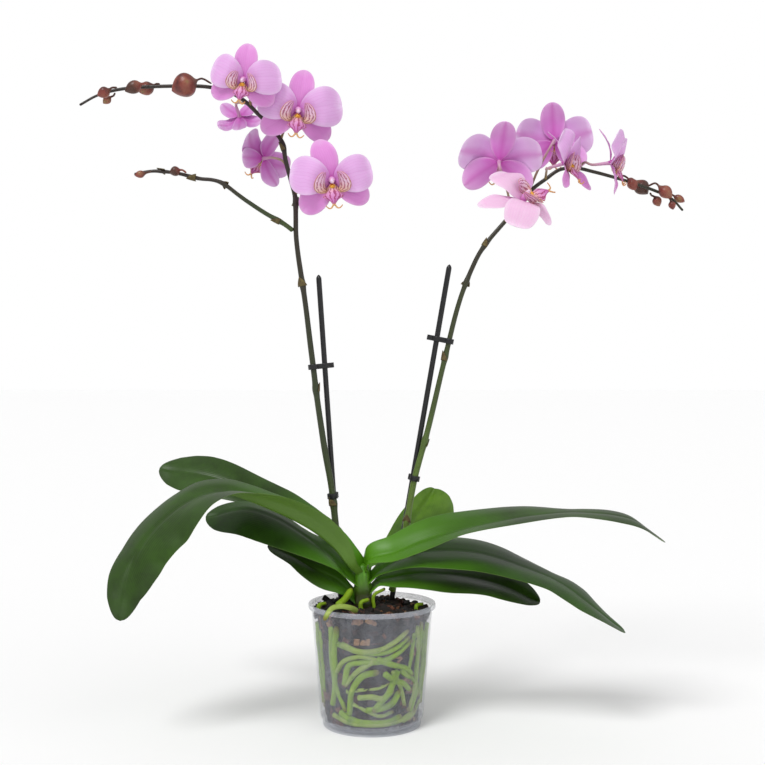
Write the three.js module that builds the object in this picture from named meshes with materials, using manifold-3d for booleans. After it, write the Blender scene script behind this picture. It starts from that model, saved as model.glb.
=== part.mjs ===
// A potted moth orchid: a clear nursery pot of bark, fleshy roots, eight strap leaves on a short
// stem, two arching flower spikes tied to stakes with clips, ten open flowers and thirteen buds.
// Millimetres, +Z up. The origin is the centre of the pot's underside, and the plant's two fans
// of leaves spread along X. The plant is looked at along +Y.
import * as THREE from 'three';
import { mergeVertices } from 'three/addons/utils/BufferGeometryUtils.js';
import Module from 'manifold-3d';

const wasm = await Module();
wasm.setup();

// Driving dimensions
const potHeight = 115;
const lipHeight = 4.8; // height of the rolled rim
const rimRadius = 60.5; // outside of the rolled rim
const wallTopRadius = 57.5; // outside of the wall just under the rim
const wallFootRadius = 49;
const footRadius = 46.5;
const footHeight = 8;
const wallThickness = 0.9;
const baseLift = 2.2; // thickness of the base plate
const clearance = 0.4; // gap left between pieces that touch

const stakeRadius = 2.6;
const clipHeight = 5;
const clipWall = 1.8;
const clipReach = 6.5; // length of a clip's finger tab past the stake

const leafThickness = 2.2;
const tepalThickness = 1.2;

const material = (color, roughness = 0.6, metalness = 0) =>
  new THREE.MeshStandardMaterial({ color, roughness, metalness });

const paints = {
  pot: new THREE.MeshStandardMaterial({ color: 0xd8dcd8, roughness: 0.15, transparent: true, opacity: 0.35 }),
  bark: material(0x2a1a14, 0.95),
  stem: material(0x5d8f1f, 0.5),
  leaf: material(0x2f5a12, 0.42),
  root: material(0x86a83a, 0.6),
  spike: material(0x3a3f22, 0.55),
  stake: material(0x15171a, 0.5),
  clip: material(0x101214, 0.4),
  flower: material(0xcf93cf, 0.6),
  bud: material(0x8a4a38, 0.55),
};

const vec = (p) => new THREE.Vector3(...p);
const mix = (a, b, t) => a + (b - a) * t;

const orchid = new THREE.Group();

function add(name, geometry, paint) {
  const mesh = new THREE.Mesh(geometry, paint);
  mesh.name = name;
  orchid.add(mesh);
  return mesh;
}

// Solids and booleans

function solidFrom(geometry) {
  const bare = geometry.clone();
  bare.deleteAttribute('normal');
  bare.deleteAttribute('uv');
  const merged = mergeVertices(bare, 1e-4);
  return new wasm.Manifold(new wasm.Mesh({
    numProp: 3,
    vertProperties: new Float32Array(merged.attributes.position.array),
    triVerts: new Uint32Array(merged.index.array),
  }));
}

function geometryFrom(solid) {
  const mesh = solid.getMesh();
  const geometry = new THREE.BufferGeometry();
  geometry.setAttribute('position', new THREE.BufferAttribute(mesh.vertProperties, 3));
  geometry.setIndex(new THREE.BufferAttribute(mesh.triVerts, 1));
  return geometry;
}

// The largest body of a solid, without cut-off crumbs or sealed hollows.
const mainBody = (solid) => solid.decompose().sort((a, b) => b.volume() - a.volume())[0];

// A closed skin over rings of points, with a fan of triangles to a point at each end.
function loft(start, rings, end) {
  const sides = rings[0].length;
  const points = [start, ...rings.flat(), end];
  const index = [];
  const at = (ring, side) => 1 + ring * sides + (side % sides);
  for (let side = 0; side < sides; side++) {
    index.push(0, at(0, side + 1), at(0, side));
    for (let ring = 0; ring + 1 < rings.length; ring++) {
      index.push(at(ring, side), at(ring, side + 1), at(ring + 1, side + 1));
      index.push(at(ring, side), at(ring + 1, side + 1), at(ring + 1, side));
    }
    index.push(points.length - 1, at(rings.length - 1, side), at(rings.length - 1, side + 1));
  }
  const geometry = new THREE.BufferGeometry().setFromPoints(points);
  geometry.setIndex(index);
  return turnedOut(geometry, points);
}

// Turns every face round if the skin encloses a negative volume.
function turnedOut(geometry, points) {
  const index = geometry.index.array;
  let volume = 0;
  for (let i = 0; i < index.length; i += 3) {
    const [a, b, c] = [points[index[i]], points[index[i + 1]], points[index[i + 2]]];
    volume += a.dot(new THREE.Vector3().crossVectors(b, c));
  }
  if (volume < 0) {
    for (let i = 0; i < index.length; i += 3) {
      [index[i + 1], index[i + 2]] = [index[i + 2], index[i + 1]];
    }
  }
  return geometry;
}

// A round tube along a curve. radius(t) gives its radius from the start, 0, to the end, 1.
function tube(curve, radius, steps, sides) {
  const frames = curve.computeFrenetFrames(steps, false);
  const rings = [];
  for (let i = 0; i <= steps; i++) {
    const t = i / steps;
    const centre = curve.getPointAt(t);
    const r = radius(t);
    rings.push(Array.from({ length: sides }, (_, side) => {
      const angle = (side / sides) * 2 * Math.PI;
      return centre.clone()
        .addScaledVector(frames.normals[i], r * Math.cos(angle))
        .addScaledVector(frames.binormals[i], r * Math.sin(angle));
    }));
  }
  const start = curve.getPointAt(0).addScaledVector(curve.getTangentAt(0), -0.3 * radius(0));
  const end = curve.getPointAt(1).addScaledVector(curve.getTangentAt(1), 0.3 * radius(1));
  return loft(start, rings, end);
}

const curveThrough = (points) => new THREE.CatmullRomCurve3(points.map(vec), false, 'centripetal');

// Pot: a thin clear cup with a rolled rim, a stepped foot and drain slots through the base.

function potWallRadius(z) {
  return mix(wallFootRadius, wallTopRadius, (z - footHeight) / (potHeight - lipHeight - footHeight));
}

function pot() {
  const inside = wallThickness;
  const profile = [
    [0, 0],
    [footRadius - 1.2, 0],
    [footRadius, 1.2],
    [footRadius + 0.3, footHeight - 1],
    [wallFootRadius, footHeight + 1.5],
    [wallTopRadius, potHeight - lipHeight - 1],
    [rimRadius, potHeight - lipHeight],
    [rimRadius, potHeight - 0.8],
    [rimRadius - 0.8, potHeight],
    [wallTopRadius - inside, potHeight - 0.6],
    [wallFootRadius - inside, footHeight + 1.9],
    [footRadius + 0.3 - inside, footHeight - 0.6],
    [footRadius - inside, baseLift],
    [0, baseLift],
  ].map(([r, z]) => new THREE.Vector2(r, z));
  const cup = new THREE.LatheGeometry(profile, 40).rotateX(Math.PI / 2);
  let solid = solidFrom(cup);
  const drainHoles = 8;
  for (let i = 0; i < drainHoles; i++) {
    const hole = new THREE.CylinderGeometry(3.5, 3.5, 8, 8).rotateX(Math.PI / 2);
    const angle = ((i + 0.5) / drainHoles) * 2 * Math.PI;
    hole.translate(32 * Math.cos(angle), 32 * Math.sin(angle), 1);
    solid = solid.subtract(solidFrom(hole));
  }
  return geometryFrom(solid);
}

add('pot', pot(), paints.pot);

// Short stem that the leaves clasp

const stemCurve = curveThrough([[-7, 3, 100], [-8, 2, 115], [-9, 1, 135], [-9, 0, 150]]);
const stemRadius = (t) => mix(10, 7, t);
add('crown_stem', tube(stemCurve, stemRadius, 6, 10), paints.stem);

// Leaves. Each follows its rib from the stem to the tip. On each side of the rib, far from and near
// to the front of the pot, the blade grows from its width at the stem to its full width at the
// share of the length that widest gives, slowly at first where swell is 2, and then closes in a
// round tip. lean is the angle at which that side rises over level: at the stem, one third and two
// thirds of the way along, and at the tip.

const leaves = {
  leaf_left_front: {
    rib: [[-18, -10, 149], [-43, -18, 179], [-95, -34, 210], [-145, -48, 225], [-191, -62, 198],
      [-213, -74, 163], [-220, -88, 115]],
    far: { widths: [18, 31], widest: 0.6, lean: [62, 24, 11, -4] },
    near: { widths: [9, 43], widest: 0.66, lean: [60, 24, -32, -28] },
  },
  leaf_left_back: {
    rib: [[-23, 14, 155], [-36, 43, 174], [-72, 50, 199], [-115, 58, 214], [-165, 70, 229], [-220, 92, 236]],
    far: { widths: [6, 27], widest: 0.78, swell: 2, lean: [56, 26, 36, 40] },
    near: { widths: [4, 24], widest: 0.78, swell: 2, lean: [-50, -32, -43, -62] },
  },
  leaf_left_middle: {
    rib: [[-23, 0, 140], [-38, -2, 159], [-68, -2, 182], [-94, -2, 197], [-121, 0, 204], [-160, 10, 195]],
    far: { widths: [10, 23], widest: 0.55, lean: [40, 5, 6, 40] },
    near: { widths: [8, 36], widest: 0.52, lean: [-16, -30, -44, -50] },
  },
  leaf_left_low: {
    rib: [[-22, 2, 126], [-34, 2, 136], [-52, 2, 145], [-75, 4, 158], [-100, 8, 168]],
    far: { widths: [6, 11], widest: 0.4, lean: [48, 44, 24, 18] },
    near: { widths: [8, 17], widest: 0.3, lean: [-44, -48, -24, -27] },
  },
  leaf_right_front: {
    rib: [[-4, -8, 156], [19, -16, 165], [54, -24, 180], [106, -30, 194], [157, -34, 203], [201, -38, 205],
      [242, -37, 198], [272, -28, 176]],
    far: { widths: [12, 35], widest: 0.55, lean: [66, 24, -4, 8] },
    near: { widths: [6, 31], widest: 0.42, lean: [-45, -5, -4, -24] },
  },
  leaf_right_middle: {
    rib: [[5, -2, 144], [34, -6, 161], [64, -10, 166], [102, -14, 164], [140, -20, 153], [175, -26, 139],
      [208, -30, 115], [236, -24, 92]],
    far: { widths: [10, 35], widest: 0.42, lean: [31, 13, -2, 20] },
    near: { widths: [6, 37], widest: 0.34, lean: [-27, -20, -12, -24] },
  },
  leaf_right_low: {
    rib: [[6, 2, 135], [36, 0, 142], [74, -2, 142], [107, -4, 137], [133, -6, 129], [159, -8, 116]],
    far: { widths: [7, 27], widest: 0.55, lean: [26, 14, 20, 34] },
    near: { widths: [7, 35], widest: 0.5, lean: [-34, -22, -16, -19] },
  },
  leaf_back: {
    rib: [[-6, 17, 147], [15, 42, 156], [34, 60, 174], [50, 78, 192], [64, 100, 214]],
    far: { widths: [5, 17], widest: 0.62, swell: 2, lean: [55, 68, 58, 44] },
    near: { widths: [7, 35], widest: 0.66, swell: 2, lean: [-4, -33, -26, 0] },
  },
};

// Edge of one side of a leaf at a share of its length. out points level to that side.
function leafEdge({ widths: [atStem, full], widest, lean, swell = 1 }, t, middle, out, up) {
  const width = t < widest
    ? mix(atStem, full, Math.sin((t / widest) * (Math.PI / 2)) ** swell)
    : full * Math.sqrt(1 - ((t - widest) / (1 - widest)) ** 2);
  const third = Math.min(2, Math.floor(3 * t));
  const angle = THREE.MathUtils.degToRad(mix(lean[third], lean[third + 1], 3 * t - third));
  return middle.clone()
    .addScaledVector(out, width * Math.cos(angle))
    .addScaledVector(up, width * Math.sin(angle));
}

// Ring of eight points round a leaf's section. Each half is arched up a little.
function leafRing(far, middle, near) {
  const across = near.clone().sub(far);
  return (along) => {
    const up = new THREE.Vector3().crossVectors(along, across).normalize();
    if (up.z < 0) up.negate();
    const half = (edge) => edge.clone().add(middle).multiplyScalar(0.5)
      .addScaledVector(up, 0.06 * edge.distanceTo(middle));
    const below = (p, share) => p.clone().addScaledVector(up, -share * leafThickness);
    const [farHalf, nearHalf] = [half(far), half(near)];
    return [far, farHalf, middle, nearHalf, near, below(nearHalf, 1), below(middle, 1), below(farHalf, 1)];
  };
}

function leaf({ rib, far, near }) {
  const curve = curveThrough(rib);
  const stations = 14;
  const rings = [];
  for (let i = 0; i < stations; i++) {
    const t = Math.pow(i / stations, 0.9);
    const middle = curve.getPointAt(t);
    const along = curve.getTangentAt(t);
    const level = new THREE.Vector3(-along.y, along.x, 0).normalize();
    if (level.y < 0) level.negate();
    const up = new THREE.Vector3().crossVectors(along, level);
    if (up.z < 0) up.negate();
    const farEdge = leafEdge(far, t, middle, level, up);
    const nearEdge = leafEdge(near, t, middle, level.clone().negate(), up);
    rings.push(leafRing(farEdge, middle, nearEdge)(along));
  }
  const [top, bottom] = [rings[0][2], rings[0][6]];
  return loft(top.clone().add(bottom).multiplyScalar(0.5), rings, curve.getPointAt(1));
}

for (const [name, plan] of Object.entries(leaves)) add(name, leaf(plan), paints.leaf);

// Flower spikes and the side branch

const spikes = {
  left: {
    route: [[-27, 20, 122], [-31, 20, 145], [-34, 20, 172], [-39, 19, 219], [-49, 18, 278], [-57, 16, 339],
      [-65, 15, 404], [-73, 15, 460], [-75, 15, 508], [-82, 15, 530], [-87, 15, 556], [-95, 15, 568],
      [-106, 15, 579], [-117, 15, 590], [-132, 15, 602], [-156, 15, 609], [-197, 15, 610],
      [-244, 15, 607], [-268, 15, 600], [-282, 15, 592]],
    radius: (t) => mix(3.3, 1.4, t) * (t > 0.97 ? 0.8 : 1),
  },
  right: {
    route: [[19, 21, 122], [27, 21, 150], [33, 20, 185], [41, 20, 230], [54, 20, 278], [69, 20, 341],
      [85, 20, 404], [97, 20, 435], [107, 20, 454], [126, 20, 477], [142, 20, 495], [158, 20, 514],
      [168, 20, 521], [181, 20, 530], [197, 20, 532], [216, 20, 528], [248, 20, 519], [274, 20, 510],
      [287, 20, 505], [301, 20, 491]],
    radius: (t) => mix(3.2, 1.3, t) * (t > 0.97 ? 0.8 : 1),
  },
};
for (const [side, spike] of Object.entries(spikes)) {
  spike.curve = curveThrough(spike.route);
  add(`spike_${side}`, tube(spike.curve, spike.radius, 36, 6), paints.spike);
}

const branchCurve = curveThrough([[-77, 15, 471], [-85, 15, 477], [-104, 15, 488], [-125, 15, 502],
  [-148, 15, 518], [-168, 15, 521], [-188, 15, 526], [-213, 15, 528], [-229, 15, 525]]);
add('spike_left_branch', tube(branchCurve, (t) => mix(2.2, 1.4, t), 18, 6), paints.spike);

// Support stakes and the clips that hold the spikes to them

const stakes = {
  left: [[-26, 33, 40], [-52, 20, 428]],
  right: [[6.7, 32, 40], [75, 20, 438]],
};
function stake([foot, top]) {
  const axis = new THREE.LineCurve3(vec(foot), vec(top));
  return tube(axis, () => stakeRadius, 1, 12);
}
for (const [side, ends] of Object.entries(stakes)) add(`stake_${side}`, stake(ends), paints.stake);

// Point and direction where a curve passes a height.
function atHeight(curve, height) {
  let [low, high] = [0, 1];
  for (let i = 0; i < 30; i++) {
    const middle = (low + high) / 2;
    if (curve.getPointAt(middle).z < height) low = middle;
    else high = middle;
  }
  return { t: low, point: curve.getPointAt(low), tangent: curve.getTangentAt(low) };
}

// One plate with a hole for the stake, a hole for the spike and a finger tab past the stake.
function clipPlate(spacing, spikeRadius) {
  const [stakeHole, spikeHole] = [stakeRadius + clearance, spikeRadius + clearance];
  const round = (r, x, height) => new THREE.CylinderGeometry(r, r, height, 12)
    .rotateX(Math.PI / 2).translate(x, 0, 0);
  const tab = new THREE.BoxGeometry(clipReach, 3.4, clipHeight).translate(-clipReach / 2 - stakeHole, 0, 0);
  const web = new THREE.BoxGeometry(spacing, 5, clipHeight).translate(spacing / 2, 0, 0);
  const [stakeRing, spikeRing] = [
    round(stakeHole + clipWall, 0, clipHeight), round(spikeHole + clipWall, spacing, clipHeight),
  ];
  const holes = [round(stakeHole, 0, 2 * clipHeight), round(spikeHole, spacing, 2 * clipHeight)];
  const plate = [tab, web, stakeRing, spikeRing].map(solidFrom).reduce((whole, piece) => whole.add(piece));
  return geometryFrom(mainBody(holes.map(solidFrom).reduce((rest, hole) => rest.subtract(hole), plate)));
}

const clips = {
  clip_left_upper: ['left', 339],
  clip_left_lower: ['left', 214],
  clip_right_upper: ['right', 364],
  clip_right_lower: ['right', 231],
};
for (const [name, [side, height]] of Object.entries(clips)) {
  const { t, point, tangent } = atHeight(spikes[side].curve, height);
  const [foot, top] = stakes[side].map(vec);
  const rod = top.clone().sub(foot).normalize();
  const up = rod.clone().add(tangent).normalize();
  const nearest = foot.clone().addScaledVector(rod, point.clone().sub(foot).dot(up) / rod.dot(up));
  const toSpike = point.clone().sub(nearest);
  const mesh = add(name, clipPlate(toSpike.length(), spikes[side].radius(t)), paints.clip);
  const x = toSpike.clone().normalize();
  const y = new THREE.Vector3().crossVectors(up, x);
  mesh.applyMatrix4(new THREE.Matrix4().makeBasis(x, y, up).setPosition(nearest));
}

// Flowers. Each has three narrow sepals, two broad petals and a lip, and its stalk runs on
// through the middle as the column. In a flower's own frame it looks along +Z, its top sepal
// points along +Y, and its sizes are shares of its span.

const tepals = [
  { turn: 0, length: 0.49, width: 0.34 }, // top sepal
  { turn: 130, length: 0.54, width: 0.36 }, // side sepals
  { turn: -130, length: 0.54, width: 0.36 },
  { turn: 78, length: 0.52, width: 0.56 }, // petals
  { turn: -78, length: 0.52, width: 0.56 },
];
const hubRadius = 0.12;

// How far the flower reaches at an angle from its top: the far side of the tepal that it meets.
// Each tepal is an ellipse that starts at the hub.
function reach(angle) {
  const distances = tepals.map(({ turn, length, width }) => {
    const off = angle - THREE.MathUtils.degToRad(turn);
    const [long, wide] = [(length - 0.04) / 2, width / 2];
    const centre = length - long;
    const a = (Math.cos(off) / long) ** 2 + (Math.sin(off) / wide) ** 2;
    const b = (centre * Math.cos(off)) / long ** 2;
    const inside = b * b - a * ((centre / long) ** 2 - 1);
    return inside > 0 && b > 0 ? (b + Math.sqrt(inside)) / a : 0;
  });
  return Math.max(hubRadius, ...distances);
}

// The five tepals as one thin dish that curves forward and then back at its rim.
function flowerDish(span) {
  const spokes = 30;
  const ring = (share, side) => Array.from({ length: spokes }, (_, i) => {
    const angle = (i / spokes) * 2 * Math.PI;
    const r = share * reach(angle);
    const z = 0.09 * Math.sin(Math.PI * 1.6 * r) * span + (side * tepalThickness) / 2;
    return new THREE.Vector3(-r * span * Math.sin(angle), r * span * Math.cos(angle), z);
  });
  const rings = [ring(0.55, 1), ring(1, 0), ring(0.55, -1)];
  const middle = (side) => new THREE.Vector3(0, 0, (side * tepalThickness) / 2);
  return loft(middle(1), rings, middle(-1));
}

function lip(span) {
  const curve = curveThrough([[0, -0.1 * span, -0.01 * span], [0, -0.12 * span, 0.08 * span],
    [0, -0.2 * span, 0.16 * span], [0, -0.3 * span, 0.17 * span]]);
  return tube(curve, (t) => span * mix(0.03, 0.09, Math.sin(Math.PI * Math.min(0.85, t))), 4, 6);
}

const flowers = {
  flower_left_1: {
    on: 'left', at: 0.735, centre: [-119.5, -19, 607],
    facing: [-0.08, -0.97, -0.14], roll: -10, span: 68,
  },
  flower_left_2: {
    on: 'left', at: 0.725, centre: [-132, 46, 588],
    facing: [0.1, 0.8, -0.55], roll: 172, span: 48,
  },
  flower_left_3: {
    on: 'left', at: 0.67, centre: [-70.5, 0, 583],
    facing: [0.12, -0.97, -0.14], roll: -6, span: 78,
  },
  flower_left_4: {
    on: 'left', at: 0.625, centre: [-107, 34, 544],
    facing: [-0.66, 0.72, 0.1], roll: 24, span: 60,
  },
  flower_left_5: {
    on: 'left', at: 0.59, centre: [-37.5, -17, 513.5],
    facing: [0.06, -0.97, -0.1], roll: 5, span: 80,
  },
  flower_right_1: {
    on: 'right', at: 0.67, centre: [121.5, 4, 535.5],
    facing: [0.08, 0.9, 0.4], roll: 6, span: 80,
  },
  flower_right_2: {
    on: 'right', at: 0.71, centre: [179, 38, 561],
    facing: [0.12, 0.97, 0.1], roll: 0, span: 77,
  },
  flower_right_3: {
    on: 'right', at: 0.65, centre: [140, -34, 491],
    facing: [0.25, -0.62, 0.74], roll: 95, span: 80,
  },
  flower_right_4: {
    on: 'right', at: 0.75, centre: [181, -14, 530],
    facing: [0.88, -0.42, 0.2], roll: -2, span: 68,
  },
  flower_right_5: {
    on: 'right', at: 0.81, centre: [225, -11, 531],
    facing: [0.95, -0.28, 0.05], roll: 2, span: 66, arch: 13,
  },
};
const stalkArch = 4; // how far a stalk rises before it turns to its flower
const columnLength = 10;

// Matrix of a flower: +Z to facing, and +Y as near upright as that allows, then rolled.
function flowerFrame({ centre, facing, roll }) {
  const z = vec(facing).normalize();
  const x = new THREE.Vector3().crossVectors(new THREE.Vector3(0, 0, 1), z).normalize();
  const y = new THREE.Vector3().crossVectors(z, x);
  return new THREE.Matrix4().makeBasis(x, y, z)
    .multiply(new THREE.Matrix4().makeRotationZ(THREE.MathUtils.degToRad(roll)))
    .setPosition(vec(centre));
}

// Stalk from the spike's surface to the back of the flower.
function stalkCurve(spike, at, centre, facing, arch) {
  const from = spike.curve.getPointAt(at);
  const along = spike.curve.getTangentAt(at);
  const behind = centre.clone().addScaledVector(facing, -15);
  const away = behind.clone().sub(from);
  away.addScaledVector(along, -away.dot(along)).normalize();
  const start = from.clone().addScaledVector(away, spike.radius(at) + clearance + 0.3);
  const bend = start.clone().addScaledVector(away, 8).setZ(start.z + arch);
  const front = centre.clone().addScaledVector(facing, columnLength);
  const path = new THREE.CurvePath();
  path.add(new THREE.CubicBezierCurve3(start, bend, behind.clone().addScaledVector(facing, -8), behind));
  path.add(new THREE.LineCurve3(behind, front));
  return curveThrough(path.getSpacedPoints(7).map((p) => p.toArray()));
}

for (const [name, plan] of Object.entries(flowers)) {
  const frame = flowerFrame(plan);
  const dish = flowerDish(plan.span).applyMatrix4(frame);
  const facing = vec(plan.facing).normalize();
  const stalk = stalkCurve(spikes[plan.on], plan.at, vec(plan.centre), facing, plan.arch ?? stalkArch);
  const pieces = [dish, lip(plan.span).applyMatrix4(frame), tube(stalk, (t) => mix(1.2, 3, t ** 3), 8, 6)];
  const whole = pieces.map(solidFrom).reduce((joined, piece) => joined.add(piece));
  add(name, geometryFrom(mainBody(whole)), paints.flower);
}

// Buds, each with its own stalk: from is on the spike, over is the top of the stalk's arch, and
// the bud itself runs from base to tip.

const buds = {
  bud_left_1: {
    from: [-155, 12, 612], over: [-163, 6, 615],
    base: [-168, 2, 612], tip: [-190, 0, 602], radius: 11.2,
  },
  bud_left_2: {
    from: [-206, 18, 613], over: [-210, 22, 614],
    base: [-213, 24, 613], tip: [-227, 24.5, 607], radius: 6.4,
  },
  bud_left_3: {
    from: [-216, 12, 612], over: [-219, 8, 611],
    base: [-221, 6, 610], tip: [-236, 5.5, 603], radius: 6,
  },
  bud_left_4: {
    from: [-246, 12, 608], over: [-250, 9, 607],
    base: [-252, 8, 605], tip: [-263, 7, 599], radius: 5.2,
  },
  bud_left_5: {
    from: [-249, 18, 604], over: [-251, 20, 602],
    base: [-254, 21, 601], tip: [-261, 21, 595], radius: 3.8,
  },
  bud_branch_1: {
    from: [-179, 12, 526], over: [-182, 10, 528],
    base: [-184.5, 8.5, 528], tip: [-194, 8, 525], radius: 4.6,
  },
  bud_branch_2: {
    from: [-213, 12.5, 527], over: [-216, 11, 526],
    base: [-218, 9.5, 525], tip: [-228, 9, 523], radius: 3.4,
  },
  bud_right_1: {
    from: [287, 17.5, 503], over: [288, 16, 501],
    base: [288.5, 15, 499], tip: [290.5, 14.5, 491], radius: 3.4,
  },
  bud_right_2: {
    from: [239, 16.5, 521.5], over: [242, 12, 523],
    base: [247, 10, 519], tip: [253, 9, 509], radius: 5,
  },
  bud_right_3: {
    from: [248, 22.5, 521], over: [253, 27, 523],
    base: [258, 29, 520], tip: [269, 30, 509], radius: 7.4,
  },
  bud_right_4: {
    from: [267, 17, 514], over: [273, 13, 516],
    base: [277, 11.5, 512], tip: [288, 11, 502], radius: 6,
  },
  bud_right_5: {
    from: [270, 22, 508], over: [272, 24, 506],
    base: [275, 25.5, 505], tip: [280, 26, 496], radius: 4.4,
  },
  bud_right_6: {
    from: [287, 22.5, 506.5], over: [291, 24, 507],
    base: [294, 24.5, 505.5], tip: [304, 24.5, 500], radius: 3.6,
  },
};

function bud({ from, over, base, tip, radius }) {
  const curve = curveThrough([from, over, base, tip]);
  const length = curve.getLength();
  const budShare = vec(base).distanceTo(vec(tip)) / length;
  const stalk = 0.9;
  const width = (t) => {
    const inBud = (t - (1 - budShare)) / budShare;
    if (inBud <= 0) return stalk;
    return Math.max(stalk * (1 - inBud), radius * Math.sin(Math.PI * inBud ** 0.85) ** 0.62);
  };
  return tube(curve, (t) => width(Math.min(t, 0.985)), 12, 6);
}
for (const [name, plan] of Object.entries(buds)) add(name, bud(plan), paints.bud);

// Roots in the pot run in the gap between the bark and the wall. course lists the angle round the
// pot, where -90 faces the front, and the height.

const potRoots = {
  root_1: { radius: 3.1, course: [[-128, 99], [-133, 80], [-134, 60], [-136, 40], [-142, 26]] },
  root_2: { radius: 2.6, course: [[-122, 84], [-104, 79], [-84, 80], [-66, 87], [-50, 96]] },
  root_3: { radius: 2.8, course: [[-121, 48], [-114, 66], [-98, 69], [-80, 70], [-62, 76], [-44, 86]] },
  root_4: { radius: 3.1, course: [[-84, 60], [-99, 57], [-112, 42], [-117, 20]] },
  root_5: { radius: 3, course: [[-75, 58], [-64, 51], [-52, 47], [-42, 40]] },
  root_6: { radius: 2.8, course: [[-104, 36], [-90, 37], [-78, 35], [-66, 42]] },
  root_7: { radius: 3, course: [[-58, 40], [-66, 30], [-80, 26], [-95, 25]] },
  root_8: { radius: 3, course: [[-128, 20], [-112, 14], [-92, 12.5], [-72, 13], [-54, 17]] },
  root_9: { radius: 2.6, course: [[-28, 100], [-30, 78], [-32, 55], [-30, 34], [-38, 20]] },
  root_10: { radius: 2.6, course: [[170, 92], [140, 66], [105, 58], [70, 62], [35, 44], [10, 22]] },
};
const rootDepth = 4; // from the inside of the wall to a root's middle

function rootCurve(course) {
  return curveThrough(course.map(([angle, height]) => {
    const a = THREE.MathUtils.degToRad(angle);
    const r = potWallRadius(height) - wallThickness - rootDepth;
    return [r * Math.cos(a), r * Math.sin(a), height];
  }));
}
for (const [name, { radius, course }] of Object.entries(potRoots)) {
  add(name, tube(rootCurve(course), (t) => radius * mix(1, 0.8, t), 3 * course.length, 6), paints.root);
}

// Two roots above the bark: one hooks over the rim, one hangs from the stem.
const surfaceRoots = {
  root_over_rim: {
    radius: 2.6,
    points: [[-15, -40, 115], [-20, -50, 119.5], [-28, -55, 121.6], [-36, -58, 120], [-42, -61, 111]],
  },
  root_under_leaf: { radius: 3.4, points: [[-20, -6, 127], [-25, -14, 121], [-31, -22, 117]] },
};
for (const [name, { radius, points }] of Object.entries(surfaceRoots)) {
  add(name, tube(curveThrough(points), (t) => radius * mix(1, 0.8, t), 10, 6), paints.root);
}

// Bark mix fills the pot inside the ring of roots, with room left for the stem and the stakes.

function barkMix() {
  const core = (z) => potWallRadius(z) - wallThickness - rootDepth - 3.4;
  const floor = baseLift + clearance;
  const top = potHeight - 5;
  const profile = [
    [0, floor], [40, floor], [core(12) - 1, 12], [core(60), 60], [core(104), 104], [core(104) + 3, 109],
    [core(top) - 3, top + 2], [20, top + 4], [0, top + 4],
  ].map(([r, z]) => new THREE.Vector2(r, z));
  const heap = solidFrom(new THREE.LatheGeometry(profile, 24).rotateX(Math.PI / 2));
  const planted = [
    tube(stemCurve, (t) => stemRadius(t) + clearance, 6, 10),
    ...Object.values(stakes).map(([foot, tip]) =>
      tube(new THREE.LineCurve3(vec(foot), vec(tip)), () => stakeRadius + clearance, 1, 12)),
  ];
  const rest = planted.map(solidFrom).reduce((left, piece) => left.subtract(piece), heap);
  return geometryFrom(mainBody(rest));
}
add('bark_mix', barkMix(), paints.bark);

export default orchid;
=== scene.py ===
import math

import bmesh
import bpy
import numpy as np
from mathutils import Matrix, Vector


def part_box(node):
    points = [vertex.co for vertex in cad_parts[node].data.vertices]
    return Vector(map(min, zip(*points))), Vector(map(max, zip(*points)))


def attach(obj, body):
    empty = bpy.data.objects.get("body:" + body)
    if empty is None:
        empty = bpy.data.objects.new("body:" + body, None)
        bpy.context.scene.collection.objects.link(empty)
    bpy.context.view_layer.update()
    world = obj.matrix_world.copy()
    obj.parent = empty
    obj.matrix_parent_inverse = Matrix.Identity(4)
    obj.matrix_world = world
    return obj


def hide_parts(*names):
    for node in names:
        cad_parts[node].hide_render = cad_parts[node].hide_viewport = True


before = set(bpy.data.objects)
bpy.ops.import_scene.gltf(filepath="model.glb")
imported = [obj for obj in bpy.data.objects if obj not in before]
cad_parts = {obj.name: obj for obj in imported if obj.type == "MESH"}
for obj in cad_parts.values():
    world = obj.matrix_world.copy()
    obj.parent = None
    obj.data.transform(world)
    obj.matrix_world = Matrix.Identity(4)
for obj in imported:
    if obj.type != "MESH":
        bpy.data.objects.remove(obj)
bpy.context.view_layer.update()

mm = 0.001
rng = np.random.default_rng(7)  # one seed for everything irregular
print("frame loaded:", len(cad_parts), "nodes")


def hexColour(code):
    parts = [int(code[i:i + 2], 16) / 255 for i in (1, 3, 5)]
    return [c / 12.92 if c <= 0.04045 else ((c + 0.055) / 1.055) ** 2.4 for c in parts] + [1.0]


def addNode(tree, kind, settings=None, links=None):
    # settings name a node's property or one of its sockets; links name a socket and what feeds it
    node = tree.nodes.new(kind)
    for key, value in (settings or {}).items():
        if key == "stops":
            while len(node.color_ramp.elements) < len(value):
                node.color_ramp.elements.new(0.5)
            for element, (place, colour) in zip(node.color_ramp.elements, value):
                element.position = place
                element.color = hexColour(colour)
        elif isinstance(key, str) and hasattr(node, key):
            setattr(node, key, value)
        else:
            node.inputs[key].default_value = value
    for key, source in (links or {}).items():
        tree.links.new(source, node.inputs[key])
    return node


def newMaterial(name, **surface):
    material = bpy.data.materials.new(name)
    material.use_nodes = True
    shader = material.node_tree.nodes["Principled BSDF"]
    for socket, value in surface.items():
        shader.inputs[socket.replace("_", " ")].default_value = value
    return material, material.node_tree, shader


# ---- reading the frame's plain solids

def solidGraph(node):
    shape = bmesh.new()
    shape.from_mesh(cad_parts[node].data)
    bmesh.ops.remove_doubles(shape, verts=shape.verts, dist=2e-6)
    shape.verts.index_update()
    places = np.array([v.co for v in shape.verts])
    near = [[e.other_vert(v).index for e in v.link_edges] for v in shape.verts]
    shape.free()
    return places, near


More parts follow.
